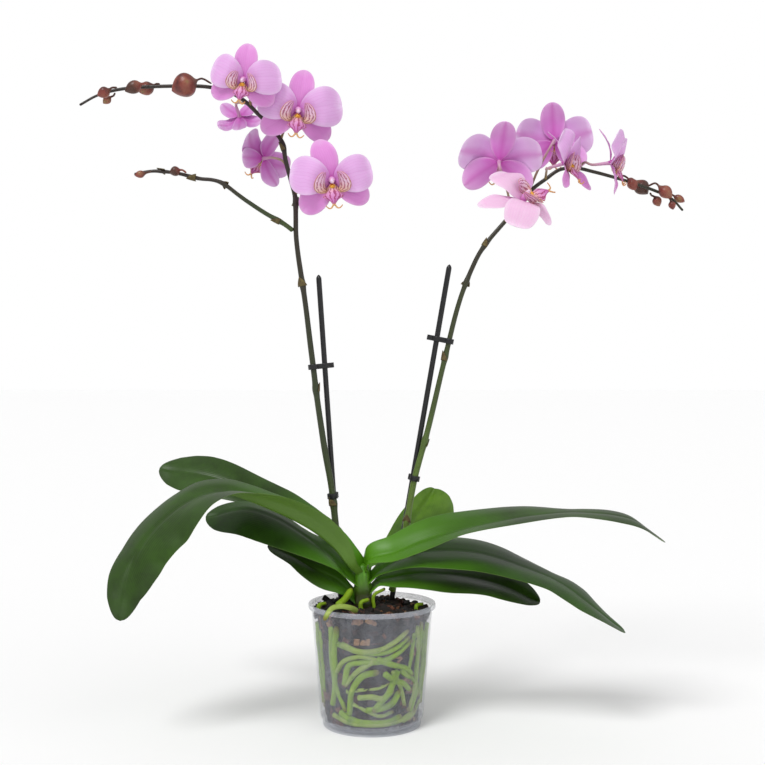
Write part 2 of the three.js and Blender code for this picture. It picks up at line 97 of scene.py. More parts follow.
def layersFrom(start, near):
    seen, layer, layers = {start}, [start], [[start]]
    while layer:
        layer = sorted({n for v in layer for n in near[v]} - seen)
        seen.update(layer)
        if layer:
            layers.append(layer)
    return layers


def ringsOf(node, sides, closeTo):
    # rings of a lofted solid, in order round each ring, from the end closest to a point
    places, near = solidGraph(node)
    away = lambda v: np.linalg.norm(places[v] - np.array(closeTo))
    for start in sorted((v for v in range(len(near)) if len(near[v]) == sides), key=away):
        layers = layersFrom(start, near)
        if len(layers[-1]) == sides + 1:
            # where the end is flat its point joins the last ring's layer
            point = max(layers[-1], key=lambda v: len(set(near[v]) & set(layers[-1])))
            layers[-1:] = [[v for v in layers[-1] if v != point], [point]]
        if len(layers[-1]) == 1 and all(len(ring) == sides for ring in layers[1:-1]):
            break
    else:
        raise ValueError(f"{node} has no rings of {sides}")
    if away(layers[-1][0]) < away(start):
        layers.reverse()
    rings = []
    for layer in layers[1:-1]:
        members = set(layer)
        order = [min(layer, key=lambda v: (len(members & set(near[v])), v))]
        while len(order) < sides:
            order.append(next(n for n in near[order[-1]] if n in members and n not in order))
        rings.append(places[order])
    return places[layers[0][0]], np.array(rings), places[layers[-1][0]]


def resample(points, count, stops=None):
    # smooth curve through points, at even steps of its length or at given shares of it
    points = np.asarray(points, float)
    flat = points.reshape(len(points), -1)
    along = np.concatenate([[0], np.cumsum(np.linalg.norm(np.diff(flat, axis=0), axis=1))])
    along = along / along[-1]
    slope = np.gradient(flat, along, axis=0)
    wanted = np.linspace(0, 1, count) if stops is None else np.asarray(stops)
    i = np.clip(np.searchsorted(along, wanted, side="right") - 1, 0, len(points) - 2)
    step = (along[i + 1] - along[i])[:, None]
    t = ((wanted - along[i])[:, None]) / step
    made = ((2 * t**3 - 3 * t**2 + 1) * flat[i] + (t**3 - 2 * t**2 + t) * step * slope[i]
            + (3 * t**2 - 2 * t**3) * flat[i + 1] + (t**3 - t**2) * step * slope[i + 1])
    return made.reshape((len(wanted),) + points.shape[1:])


def unit(v):
    return v / np.maximum(np.linalg.norm(v, axis=-1, keepdims=True), 1e-12)


# ---- making meshes

def meshObject(name, points, faces, material, coords=None, side=None, smooth=True):
    mesh = bpy.data.meshes.new(name)
    mesh.from_pydata([tuple(p) for p in points], [], faces)
    mesh.update()
    if coords is not None:
        layer = mesh.uv_layers.new(name="UVMap")
        corners = np.empty(len(mesh.loops), np.int32)
        mesh.loops.foreach_get("vertex_index", corners)
        layer.data.foreach_set("uv", np.asarray(coords, np.float32)[corners].ravel())
    if side is not None:
        attribute = mesh.attributes.new("side", "FLOAT", "POINT")
        attribute.data.foreach_set("value", np.asarray(side, np.float32))
    mesh.polygons.foreach_set("use_smooth", [smooth] * len(mesh.polygons))
    mesh.materials.append(material)
    piece = bpy.data.objects.new(name, mesh)
    bpy.context.scene.collection.objects.link(piece)
    return piece


def tidyMesh(piece, distance=2e-6):
    shape = bmesh.new()
    shape.from_mesh(piece.data)
    bmesh.ops.remove_doubles(shape, verts=shape.verts, dist=distance)
    bmesh.ops.dissolve_degenerate(shape, edges=shape.edges, dist=distance / 2)
    bmesh.ops.recalc_face_normals(shape, faces=shape.faces)
    shape.to_mesh(piece.data)
    shape.free()
    return piece


def gridFaces(rows, columns, offset=0, flip=False, wrap=False):
    faces = []
    for r in range(rows - 1):
        for c in range(columns if wrap else columns - 1):
            a, b = offset + r * columns + c, offset + r * columns + (c + 1) % columns
            quad = (a, b, b + columns, a + columns)
            faces.append(quad[::-1] if flip else quad)
    return faces


def sheetSolid(name, front, back, material):
    # two skins that meet round their rim, with a map along (u) and across (v)
    rows, columns = front.shape[:2]
    points = np.concatenate([front.reshape(-1, 3), back.reshape(-1, 3)])
    faces = gridFaces(rows, columns) + gridFaces(rows, columns, rows * columns, True)
    u, v = np.meshgrid(np.linspace(0, 1, rows), np.linspace(0, 1, columns), indexing="ij")
    coords = np.tile(np.stack([u.ravel(), v.ravel()], 1), (2, 1))
    side = np.repeat([0.0, 1.0], rows * columns)
    return tidyMesh(meshObject(name, points, faces, material, coords, side))


def pathFrames(path):
    # turning frames that don't twist along a path
    along = unit(np.gradient(path, axis=0))
    first = np.cross(along[0], [0.0, 1.0, 0.0])
    if np.linalg.norm(first) < 0.2:
        first = np.cross(along[0], [1.0, 0.0, 0.0])
    normals = [unit(first)]
    for a in along[1:]:
        n = normals[-1] - a * np.dot(normals[-1], a)
        normals.append(unit(n))
    normals = np.array(normals)
    return along, normals, np.cross(along, normals)


def tubeSolid(name, path, radii, material, sides=16, rough=0.0, seed=0):
    # a closed round tube; rough is the share by which its skin swells and dips
    along, normal, binormal = pathFrames(path)
    angle = np.linspace(0, 2 * math.pi, sides, endpoint=False)
    ring = np.cos(angle)[None, :, None] * normal[:, None] + np.sin(angle)[None, :, None] * binormal[:, None]
    radii = np.broadcast_to(np.asarray(radii, float), (len(path),))
    bumps = 1 + rough * waves(len(path), sides, seed)
    skin = path[:, None] + ring * (radii[:, None] * bumps)[..., None]
    caps = np.array([path[0] - along[0] * radii[0] * 0.5, path[-1] + along[-1] * radii[-1] * 0.6])
    points = np.concatenate([skin.reshape(-1, 3), caps])
    faces = gridFaces(len(path), sides, flip=True, wrap=True)
    last, start, end = (len(path) - 1) * sides, len(points) - 2, len(points) - 1
    faces += [(start, (c + 1) % sides, c)[::-1] for c in range(sides)]
    faces += [(end, last + c, last + (c + 1) % sides)[::-1] for c in range(sides)]
    u = np.repeat(np.linspace(0, 1, len(path)), sides)
    v = np.tile(np.abs(np.linspace(-1, 1, sides, endpoint=False)), len(path))
    coords = np.concatenate([np.stack([u, v], 1), [[0, 0.5], [1, 0.5]]])
    return tidyMesh(meshObject(name, points, faces, material, coords))


def waves(rows, columns, seed):
    # smooth irregular field, about -1 to 1, that closes round its columns
    local = np.random.default_rng(seed + 11)
    r = np.linspace(0, 1, rows)[:, None] * rows / 9
    c = np.linspace(0, 2 * math.pi, columns, endpoint=False)[None, :]
    field = np.zeros((rows, columns))
    for turns in (0, 1, 2, 3):
        for _ in range(2):
            pace, start = local.uniform(0.6, 3.2), local.uniform(0, 6.3)
            field += np.sin(r * pace + start) * np.cos(turns * c + local.uniform(0, 6.3)) / 3
    return field


def place(piece, slot, *nodes):
    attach(piece, "root")
    if nodes:
        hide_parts(*nodes)
    return piece


# ---- camera, light and floor

studio = {
    "cameraPlace": (0.010, -1.100, 0.324), "lens": 54.35,
    "floorColour": "#FAFAFA", "airColour": "#FFFFFF", "airStrength": 0.55,
    "keyFrom": (-0.55, -0.85, 1.15), "keySoftness": 24, "keyStrength": 1.8,
    "fillFrom": (0.8, -0.7, 0.6), "fillSoftness": 60, "fillStrength": 0.5,
}


def aimAt(item, target):
    item.rotation_euler = (Vector(target) - item.location).to_track_quat("-Z", "Y").to_euler()


def makeStudio():
    camera = bpy.data.objects.new("camera", bpy.data.cameras.new("camera"))
    camera.data.lens = studio["lens"]
    camera.data.clip_start, camera.data.clip_end = 0.01, 50
    camera.location = studio["cameraPlace"]
    camera.rotation_euler = (math.radians(90), 0, 0)
    bpy.context.scene.collection.objects.link(camera)
    bpy.context.scene.camera = camera
    for prefix in ("key", "fill"):
        light = bpy.data.objects.new(prefix, bpy.data.lights.new(prefix, "SUN"))
        light.data.angle = math.radians(studio[prefix + "Softness"])
        light.data.energy = studio[prefix + "Strength"]
        light.location = studio[prefix + "From"]
        aimAt(light, (0, 0, 0))
        bpy.context.scene.collection.objects.link(light)
    world = bpy.data.worlds.new("studioAir")
    world.use_nodes = True
    air = world.node_tree.nodes["Background"]
    air.inputs["Color"].default_value = hexColour(studio["airColour"])
    # the wall behind is white, and lights the plant less than it shows
    path = addNode(world.node_tree, "ShaderNodeLightPath")
    shown = addNode(world.node_tree, "ShaderNodeMapRange",
                    {"To Min": studio["airStrength"], "To Max": 1.0},
                    {"Value": path.outputs["Is Camera Ray"]})
    world.node_tree.links.new(shown.outputs[0], air.inputs["Strength"])
    bpy.context.scene.world = world
    paper, _, _ = newMaterial("paperBackdrop", Base_Color=hexColour(studio["floorColour"]), Roughness=0.9)
    corners = [(-30, -30, 0), (30, -30, 0), (30, 60, 0), (-30, 60, 0)]
    meshObject("floor", corners, [(0, 1, 2, 3)], paper)
    bpy.context.scene.view_settings.view_transform = "Standard"


makeStudio()
print("studio ready")


# ---- leaves

leafLook = {
    "crownGreen": "#4F8A12", "underGreen": "#57772C", "edgeGreen": "#6E8A38", "thickness": 1.7,
    "groove": 0.9, "keel": 1.1, "edgeWave": 0.5,
    "rows": 120, "columns": 41, "sheathDrop": 13,
}


def leafSkin(name, dark, light, seed):
    # Phalaenopsis leaf: a thick waxy cuticle, so the eye gets broad soft highlights over faint
    # lengthwise veins, with cells 1 mm across as a fine pebbling
    skin, tree, shader = newMaterial(name, Roughness=0.33, IOR=1.42, Specular_IOR_Level=0.36,
                                     Coat_Weight=0.05, Coat_Roughness=0.2)
    place = addNode(tree, "ShaderNodeTexCoord")
    along = addNode(tree, "ShaderNodeSeparateXYZ", links={0: place.outputs["UV"]})
    side = addNode(tree, "ShaderNodeAttribute", {"attribute_name": "side"})
    mottle = addNode(tree, "ShaderNodeTexNoise", {"Scale": 26.0 + seed, "Detail": 5.0, "Roughness": 0.62},
                     {"Vector": place.outputs["Object"]})
    blend = addNode(tree, "ShaderNodeValToRGB", {"stops": [(0.30, dark), (0.72, light)]},
                    {"Fac": mottle.outputs["Fac"]})
    crown = addNode(tree, "ShaderNodeMapRange",
                    {"From Min": 0.02, "From Max": 0.42, "To Min": 0.92, "To Max": 0.0},
                    {"Value": along.outputs["X"]})
    based = addNode(tree, "ShaderNodeMix", {"data_type": "RGBA", 7: hexColour(leafLook["crownGreen"])},
                    {0: crown.outputs[0], 6: blend.outputs["Color"]})
    # veins every 1.2 mm across a blade about 55 mm wide
    across = addNode(tree, "ShaderNodeMath", {"operation": "MULTIPLY", 1: 46.0}, {0: along.outputs["Y"]})
    drift = addNode(tree, "ShaderNodeTexNoise", {"Scale": 60.0, "Detail": 2.0},
                    {"Vector": place.outputs["Object"]})
    bent = addNode(tree, "ShaderNodeMath", {"operation": "MULTIPLY_ADD", 1: 1.4},
                   {0: drift.outputs["Fac"], 2: across.outputs[0]})
    vein = addNode(tree, "ShaderNodeMath", {"operation": "PINGPONG", 1: 0.5}, {0: bent.outputs[0]})
    veined = addNode(tree, "ShaderNodeMapRange",
                     {"From Min": 0.0, "From Max": 0.5, "To Min": 0.0, "To Max": 0.10},
                     {"Value": vein.outputs[0]})
    lined = addNode(tree, "ShaderNodeMix", {"data_type": "RGBA", 7: hexColour(leafLook["edgeGreen"])},
                    {0: veined.outputs[0], 6: based.outputs[2]})
    # thin pale rim where the two skins meet
    off = addNode(tree, "ShaderNodeMath", {"operation": "SUBTRACT", 1: 0.5}, {0: along.outputs["Y"]})
    reach = addNode(tree, "ShaderNodeMath", {"operation": "ABSOLUTE"}, {0: off.outputs[0]})
    rim = addNode(tree, "ShaderNodeMapRange",
                  {"From Min": 0.445, "From Max": 0.5, "To Min": 0.0, "To Max": 0.75},
                  {"Value": reach.outputs[0]})
    rimmed = addNode(tree, "ShaderNodeMix", {"data_type": "RGBA", 7: hexColour(leafLook["edgeGreen"])},
                     {0: rim.outputs[0], 6: lined.outputs[2]})
    under = addNode(tree, "ShaderNodeMath", {"operation": "MULTIPLY", 1: 0.85}, {0: side.outputs["Fac"]})
    sided = addNode(tree, "ShaderNodeMix", {"data_type": "RGBA", 7: hexColour(leafLook["underGreen"])},
                    {0: under.outputs[0], 6: rimmed.outputs[2]})
    tree.links.new(sided.outputs[2], shader.inputs["Base Color"])
    cells = addNode(tree, "ShaderNodeTexNoise", {"Scale": 900.0, "Detail": 2.0},
                    {"Vector": place.outputs["Object"]})
    height = addNode(tree, "ShaderNodeMath", {"operation": "MULTIPLY_ADD", 1: 0.5},
                     {0: cells.outputs["Fac"], 2: vein.outputs[0]})
    bump = addNode(tree, "ShaderNodeBump", {"Strength": 0.35, "Distance": 0.0003},
                   {"Height": height.outputs[0]})
    tree.links.new(bump.outputs["Normal"], shader.inputs["Normal"])
    gloss = addNode(tree, "ShaderNodeMapRange", {"To Min": 0.26, "To Max": 0.46},
                    {"Value": mottle.outputs["Fac"]})
    tree.links.new(gloss.outputs[0], shader.inputs["Roughness"])
    return skin


def leafRails(node):
    # five rails on each skin, from the crown to the tip
    base, rings, tip = ringsOf(node, 8, (-0.006, 0.0, 0.130))
    ordered = [rings[0]]
    for ring in rings[1:]:
        turns = [np.roll(r, k, axis=0) for r in (ring, ring[::-1]) for k in range(8)]
        ordered.append(min(turns, key=lambda r: np.sum((r - ordered[-1]) ** 2)))
    rings = np.array(ordered)
    span = [np.linalg.norm(rings[:, k] - rings[:, k + 4], axis=1).sum() for k in range(4)]
    rings = np.roll(rings, -int(np.argmax(span)), axis=1)
    if rings[:, 1:4, 2].sum() < rings[:, 5:8, 2].sum():
        rings = rings[:, [0, 7, 6, 5, 4, 3, 2, 1]]
    if rings[:, 0, 1].sum() < rings[:, 4, 1].sum():  # the first rail is the far one
        rings = rings[:, [4, 3, 2, 1, 0, 7, 6, 5]]
    top, low = rings[:, :5], rings[:, [0, 7, 6, 5, 4]]
    return base, (top + low) / 2, tip


sharpTips = {"leaf_left_front": {"widest": 0.61, "power": 0.9, "plainWidest": 0.66}}


def makeLeaf(node, skin, seed, slot="leaf"):
    base, rails, tip = leafRails(node)
    # the blade runs on as a sheath that clasps the stem
    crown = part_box("crown_stem")
    core = np.array([(crown[0].x + crown[1].x) / 2, (crown[0].y + crown[1].y) / 2, 0])
    core[2] = np.clip(base[2] - leafLook["sheathDrop"] * mm, crown[0].z + 0.006, crown[1].z - 0.008)
    arms = rails - rails[:, 2:3]
    if node in sharpTips:
        # the near half closes to a sharper tip than the plain solid's half ellipse
        tipLook = sharpTips[node]
        run = np.linspace(0, 1, len(rails), endpoint=False) ** 0.9
        closing = lambda widest, power: (1 - np.clip((run - widest) / (1 - widest), 0, 1) ** 2) ** power
        arms[:, 3:] *= (closing(tipLook["widest"], tipLook["power"]) / closing(tipLook["plainWidest"],
                0.5))[:, None, None]
    shares = (1.0, 0.7, 0.4)
    sheath = [base + (core - base) * share for share in shares]
    middle = np.concatenate([sheath, rails[:, 2], [tip]])
    clasp = np.clip(0.011 / np.linalg.norm(arms[0], axis=1).max(), 0, 1)
    arms = np.concatenate([[arms[0] * (clasp * share + 1 - share) for share in shares], arms, arms[-1:]])
    reach = np.linalg.norm(arms, axis=2)
    reach[-1] = 0
    rows, columns = leafLook["rows"], leafLook["columns"]
    along = np.concatenate([[0], np.cumsum(np.linalg.norm(np.diff(middle, axis=0), axis=1))])
    along /= along[-1]
    stops = 0.55 * np.sin(np.linspace(0, math.pi / 2, rows)) + 0.45 * np.linspace(0, 1, rows)
    spine = resample(middle, rows, stops)

    def spread(values):
        i = np.clip(np.searchsorted(along, stops, side="right") - 1, 0, len(along) - 2)
        share = (stops - along[i]) / (along[i + 1] - along[i])
        shape = (-1,) + (1,) * (values.ndim - 1)
        return values[i] * (1 - share.reshape(shape)) + values[i + 1] * share.reshape(shape)

    smoothReach = np.sqrt(np.maximum(spread(reach ** 2), 0))
    kernel = np.array([1, 2, 3, 2, 1]) / 9
    inner = np.pad(smoothReach, ((2, 2), (0, 0)), mode="edge")
    softened = sum(k * inner[i:i + rows] for i, k in enumerate(kernel))
    blendTip = np.clip((stops - 0.88) / 0.05, 0, 1)[:, None]
    smoothReach = softened * (1 - blendTip) + smoothReach * blendTip
    heading = unit(arms + 1e-9)
    heading[:, 2] = 0
    heading = spread(heading)
    padded = np.pad(heading, ((2, 2), (0, 0), (0, 0)), mode="edge")
    heading = sum(k * padded[i:i + rows] for i, k in enumerate(kernel))
    rib = spine[:, None] + unit(heading) * smoothReach[..., None]
    q = np.sin(np.linspace(-math.pi / 2, math.pi / 2, columns))
    across = acrossRails(rib, q)
    u = np.gradient(across, axis=0)
    v = np.gradient(across, axis=1)
    normal = unit(np.cross(u, v))
    away = unit(np.cross(np.gradient(rib[:, 2], axis=0), rib[:, 4] - rib[:, 0] + 1e-12))
    if away[:, 2].sum() < 0:
        away = -away
    flip = np.sign(np.sum(normal * away[:, None], axis=2))
    normal = np.where(np.sum(flip) < 0, -1, 1) * normal
    width = np.linalg.norm(rib[:, 4] - rib[:, 0], axis=1)[:, None]
    t = leafLook["thickness"] * mm * np.sqrt(np.maximum(1 - np.abs(q) ** 5, 0))[None]
    t = t * np.clip(width / 0.012, 0, 1) * (1 - 0.35 * stops[:, None])
    distance = np.abs(q)[None] * width / 2
    groove = leafLook["groove"] * mm * np.exp(-(distance / 0.0022) ** 2) * np.clip(width / 0.03, 0, 1)
    keel = leafLook["keel"] * mm * np.exp(-(distance / 0.0030) ** 2) * np.clip(width / 0.03, 0, 1)
    ripple = leafLook["edgeWave"] * mm * np.abs(q)[None] ** 3 * np.sin(stops[:, None] * 19 + seed + 2
            * q[None])
    ripple = ripple * np.clip(width / 0.03, 0, 1)
    skinTop = across + normal * (t / 2 - groove + ripple)[..., None]
    skinLow = across + normal * (-t / 2 - keel + ripple)[..., None]
    leaf = sheetSolid(node.replace("_", "-"), skinTop, skinLow, skin)
    return place(leaf, slot, node)


def acrossRails(rib, q):
    # a smooth cross-section through five rails: straight-ended cubic through each half
    s = (q + 1) * 2
    i = np.clip(np.floor(s).astype(int), 0, 3)
    t = (s - i)[None, :, None]
    slope = np.gradient(rib, axis=1)
    a, b, da, db = rib[:, i], rib[:, i + 1], slope[:, i], slope[:, i + 1]
    return ((2 * t**3 - 3 * t**2 + 1) * a + (t**3 - 2 * t**2 + t) * da
            + (3 * t**2 - 2 * t**3) * b + (t**3 - t**2) * db)


leafNodes = sorted(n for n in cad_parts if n.startswith("leaf_"))
leafTones = {
    "deep": leafSkin("waxyLeafDeep", "#153009", "#2A500F", 0),
    "mid": leafSkin("waxyLeaf", "#132706", "#2A4C0A", 3),
    "young": leafSkin("waxyLeafYoung", "#34560C", "#587F18", 5),
}
print("leaves:", leafNodes)
for order, node in enumerate(leafNodes):
    tone = "deep" if "mid" in node else "young" if "back" in node and "left" not in node else "mid"
    makeLeaf(node, leafTones[tone], order)


# ---- stems, stakes and clips

stemLook = {
    "sides": 18, "step": 0.003, "nodeSwell": 0.28, "nodeRun": 0.0045, "rough": 0.035,
    "nodesLeft": (0.13, 0.30, 0.455, 0.575, 0.66), "nodesRight": (0.12, 0.255, 0.40, 0.53, 0.60),
    "nodesBranch": (0.10, 0.48, 0.66, 0.84),
    "bractLength": 0.008, "bractWidth": 0.0044,
}


def stemSkin(name, low, middle, high, speckle):
    # Phalaenopsis flower stem: smooth hard rind with a faint bloom, flecked with purple-brown cork
    # specks about 1 mm across
    skin, tree, shader = newMaterial(name, Roughness=0.42, IOR=1.45, Coat_Weight=0.1, Coat_Roughness=0.3)
    place = addNode(tree, "ShaderNodeTexCoord")
    run = addNode(tree, "ShaderNodeSeparateXYZ", links={0: place.outputs["UV"]})
    wander = addNode(tree, "ShaderNodeTexNoise", {"Scale": 18.0, "Detail": 3.0},
                     {"Vector": place.outputs["Object"]})
    moved = addNode(tree, "ShaderNodeMath", {"operation": "MULTIPLY_ADD", 1: 0.22},
                    {0: wander.outputs["Fac"], 2: run.outputs["X"]})
    shifted = addNode(tree, "ShaderNodeMath", {"operation": "SUBTRACT", 1: 0.11}, {0: moved.outputs[0]})
    tone = addNode(tree, "ShaderNodeValToRGB",
                   {"stops": [(0.02, low), (0.30, middle), (0.55, high), (0.97, high)]},
                   {"Fac": shifted.outputs[0]})
    flecks = addNode(tree, "ShaderNodeTexVoronoi", {"Scale": 620.0}, {"Vector": place.outputs["Object"]})
    dots = addNode(tree, "ShaderNodeMapRange",
                   {"From Min": 0.18, "From Max": 0.34, "To Min": 0.55, "To Max": 0.0},
                   {"Value": flecks.outputs["Distance"]})
    fleck = addNode(tree, "ShaderNodeMix", {"data_type": "RGBA", 7: hexColour(speckle)},
                    {0: dots.outputs[0], 6: tone.outputs["Color"]})
    tree.links.new(fleck.outputs[2], shader.inputs["Base Color"])
    grain = addNode(tree, "ShaderNodeTexNoise", {"Scale": 480.0, "Detail": 3.0},
                    {"Vector": place.outputs["Object"]})
    bump = addNode(tree, "ShaderNodeBump", {"Strength": 0.4, "Distance": 0.0003},
                   {"Height": grain.outputs["Fac"]})
    tree.links.new(bump.outputs["Normal"], shader.inputs["Normal"])
    return skin


def lineOf(node, sides, closeTo):
    # the middle line of a round solid, and its radius there
    start, rings, end = ringsOf(node, sides, closeTo)
    middles = rings.mean(axis=1)
    radii = np.linalg.norm(rings - middles[:, None], axis=2).mean(axis=1)
    return middles, radii, start, end


def smoothLine(middles, radii, step):
    length = np.linalg.norm(np.diff(middles, axis=0), axis=1).sum()
    count = max(8, int(length / step))
    along = np.concatenate([[0], np.cumsum(np.linalg.norm(np.diff(middles, axis=0), axis=1))]) / length
    even = np.linspace(0, 1, count)
    return resample(middles, count), np.interp(even, along, radii), even


def bractTree():
    # one papery scale leaf wrapped round the stem at each node, turned from side to side
    tree = bpy.data.node_groups.new("bractsOnStem", "GeometryNodeTree")
    for label, kind, start in (("Points", "NodeSocketGeometry", None),
                               ("Length", "NodeSocketFloat", 0.012),
                               ("Width", "NodeSocketFloat", 0.006), ("Seed", "NodeSocketInt", 3),
                               ("Skin", "NodeSocketMaterial", None)):
        socket = tree.interface.new_socket(label, in_out="INPUT", socket_type=kind)
        if start is not None:
            socket.default_value = start
    tree.interface.new_socket("Geometry", in_out="OUTPUT", socket_type="NodeSocketGeometry")
    given = addNode(tree, "NodeGroupInput")
    blade = addNode(tree, "GeometryNodeMeshGrid",
                    {"Vertices X": 7, "Vertices Y": 9, "Size X": 2.0, "Size Y": 1.0})
    spot = addNode(tree, "GeometryNodeInputPosition")
    split = addNode(tree, "ShaderNodeSeparateXYZ", links={0: spot.outputs[0]})
    up = addNode(tree, "ShaderNodeMath", {"operation": "ADD", 1: 0.5}, {0: split.outputs["Y"]})
    # narrows to a point: half width = (1 - up^1.6)
    power = addNode(tree, "ShaderNodeMath", {"operation": "POWER", 1: 1.7}, {0: up.outputs[0]})
    narrow = addNode(tree, "ShaderNodeMath", {"operation": "SUBTRACT", 0: 1.0}, {1: power.outputs[0]})
    half = addNode(tree, "ShaderNodeMath", {"operation": "MULTIPLY"},
                   {0: narrow.outputs[0], 1: given.outputs["Width"]})
    wide = addNode(tree, "ShaderNodeMath", {"operation": "MULTIPLY"},
                   {0: half.outputs[0], 1: split.outputs["X"]})
    tall = addNode(tree, "ShaderNodeMath", {"operation": "MULTIPLY"},
                   {0: up.outputs[0], 1: given.outputs["Length"]})
    # cupped round the stem, with the tip standing off it
    square = addNode(tree, "ShaderNodeMath", {"operation": "POWER", 1: 2.0}, {0: split.outputs["X"]})
    hug = addNode(tree, "ShaderNodeMath", {"operation": "MULTIPLY"},
                  {0: square.outputs[0], 1: half.outputs[0]})
    dip = addNode(tree, "ShaderNodeMath", {"operation": "MULTIPLY", 1: -0.55}, {0: hug.outputs[0]})
    lean = addNode(tree, "ShaderNodeMath", {"operation": "MULTIPLY", 1: 0.16}, {0: tall.outputs[0]})
    stand = addNode(tree, "ShaderNodeMath", {"operation": "ADD"}, {0: dip.outputs[0], 1: lean.outputs[0]})
    put = addNode(tree, "ShaderNodeCombineXYZ",
                  links={"X": stand.outputs[0], "Y": wide.outputs[0], "Z": tall.outputs[0]})
    shaped = addNode(tree, "GeometryNodeSetPosition",
                     links={"Geometry": blade.outputs["Mesh"], "Position": put.outputs[0]})
    thick = addNode(tree, "GeometryNodeExtrudeMesh", {"Offset Scale": 0.0005, "Individual": False},
                    {"Mesh": shaped.outputs[0]})
    back = addNode(tree, "GeometryNodeFlipFaces", links={"Mesh": shaped.outputs[0]})
    closed = addNode(tree, "GeometryNodeJoinGeometry")
    tree.links.new(back.outputs[0], closed.inputs[0])
    tree.links.new(thick.outputs["Mesh"], closed.inputs[0])
    welded = addNode(tree, "GeometryNodeMergeByDistance", {"Distance": 0.00001},
                     {"Geometry": closed.outputs[0]})
    turn = addNode(tree, "GeometryNodeInputNamedAttribute", {"data_type": "FLOAT_VECTOR", "Name": "turn"})
    size = addNode(tree, "FunctionNodeRandomValue", {2: 0.85, 3: 1.15}, {"Seed": given.outputs["Seed"]})
    copies = addNode(tree, "GeometryNodeInstanceOnPoints", links={
        "Points": given.outputs["Points"], "Instance": welded.outputs[0],
        "Rotation": turn.outputs[0], "Scale": size.outputs[1]})
    real = addNode(tree, "GeometryNodeRealizeInstances", links={0: copies.outputs[0]})
    softened = addNode(tree, "GeometryNodeSetShadeSmooth", links={0: real.outputs[0]})
    coated = addNode(tree, "GeometryNodeSetMaterial",
                     links={"Geometry": softened.outputs[0], "Material": given.outputs["Skin"]})
    addNode(tree, "NodeGroupOutput", links={0: coated.outputs[0]})
    return tree


def runTree(name, source, tree, values):
    # runs a tree on an object and keeps only the plain mesh it makes
    modifier = source.modifiers.new("made", "NODES")
    modifier.node_group = tree
    for item in tree.interface.items_tree:
        if item.in_out == "INPUT" and item.name in values:
            modifier[item.identifier] = values[item.name]
    bpy.context.view_layer.update()
    evaluated = source.evaluated_get(bpy.context.evaluated_depsgraph_get())
    mesh = bpy.data.meshes.new_from_object(evaluated)
    source.modifiers.remove(modifier)
    bpy.data.objects.remove(source)
    mesh.name = name
    made = bpy.data.objects.new(name, mesh)
    bpy.context.scene.collection.objects.link(made)
    return made


def makeStem(node, marks, skin, bractSkin, seed, closeTo):
    middles, radii, start, end = lineOf(node, 6, closeTo)
    path, radius, even = smoothLine(middles, radii, stemLook["step"])
    length = np.linalg.norm(np.diff(path, axis=0), axis=1).sum()
    swell = sum(np.exp(-((even - m) * length / stemLook["nodeRun"]) ** 2) for m in marks)
    stem = tubeSolid(node.replace("_", "-"), path, radius * (1.04 + stemLook["nodeSwell"] * swell), skin,
                     stemLook["sides"], stemLook["rough"], seed)
    place(stem, "spike", node)
    along, normal, binormal = pathFrames(path)
    spots, turns = [], []
    for count, mark in enumerate(marks):
        k = int(mark * (len(path) - 1))
        angle = math.pi * (count % 2) + 0.5 * math.sin(seed + count * 2.0) + 0.25 * math.pi
        out = unit(math.cos(angle) * normal[k] + math.sin(angle) * binormal[k])
        turn = Matrix((out, np.cross(along[k], out), along[k])).transposed()
        spots.append(path[k] + out * radius[k] * 1.12 - along[k] * 0.001)
        turns.append(tuple(turn.to_euler()))
    cloud = bpy.data.meshes.new("marks")
    cloud.from_pydata([tuple(s) for s in spots], [], [])
    cloud.attributes.new("turn", "FLOAT_VECTOR", "POINT").data.foreach_set("vector",
            np.array(turns, np.float32).ravel())
    source = bpy.data.objects.new("marks", cloud)
    bpy.context.scene.collection.objects.link(source)
    bracts = runTree(node.replace("_", "-") + "-bracts", source, stemBracts,
                     {"Length": stemLook["bractLength"], "Width": stemLook["bractWidth"], "Seed": seed,
                      "Skin": bractSkin})
    return place(bracts, "spike")


stemBracts = bractTree()
stemLeft = stemSkin("stemRindDark", "#3A4A1C", "#2A3318", "#2A2018", "#1C1412")
stemRight = stemSkin("stemRindGreen", "#64802A", "#3E4F1E", "#2C2A1A", "#241813")
# dried scale leaf: thin, papery and matt
bractPaper, paperTree, paperShader = newMaterial("driedBract", Roughness=0.75, IOR=1.4)
paperPlace = addNode(paperTree, "ShaderNodeTexCoord")
paperNoise = addNode(paperTree, "ShaderNodeTexNoise", {"Scale": 260.0, "Detail": 4.0},
                     {"Vector": paperPlace.outputs["Object"]})
paperTone = addNode(paperTree, "ShaderNodeValToRGB", {"stops": [(0.35, "#4A3A26"), (0.7, "#6A6038")]},
                    {"Fac": paperNoise.outputs["Fac"]})
paperTree.links.new(paperTone.outputs["Color"], paperShader.inputs["Base Color"])

makeStem("spike_left", stemLook["nodesLeft"], stemLeft, bractPaper, 3, (-0.027, 0.02, 0.122))
makeStem("spike_right", stemLook["nodesRight"], stemRight, bractPaper, 8, (0.019, 0.021, 0.122))
makeStem("spike_left_branch", stemLook["nodesBranch"], stemLeft, bractPaper, 12, (-0.077, 0.015, 0.471))
print("flower stems made")


stakeLook = {"colour": "#16171A", "sides": 28, "tipRun": 0.004}
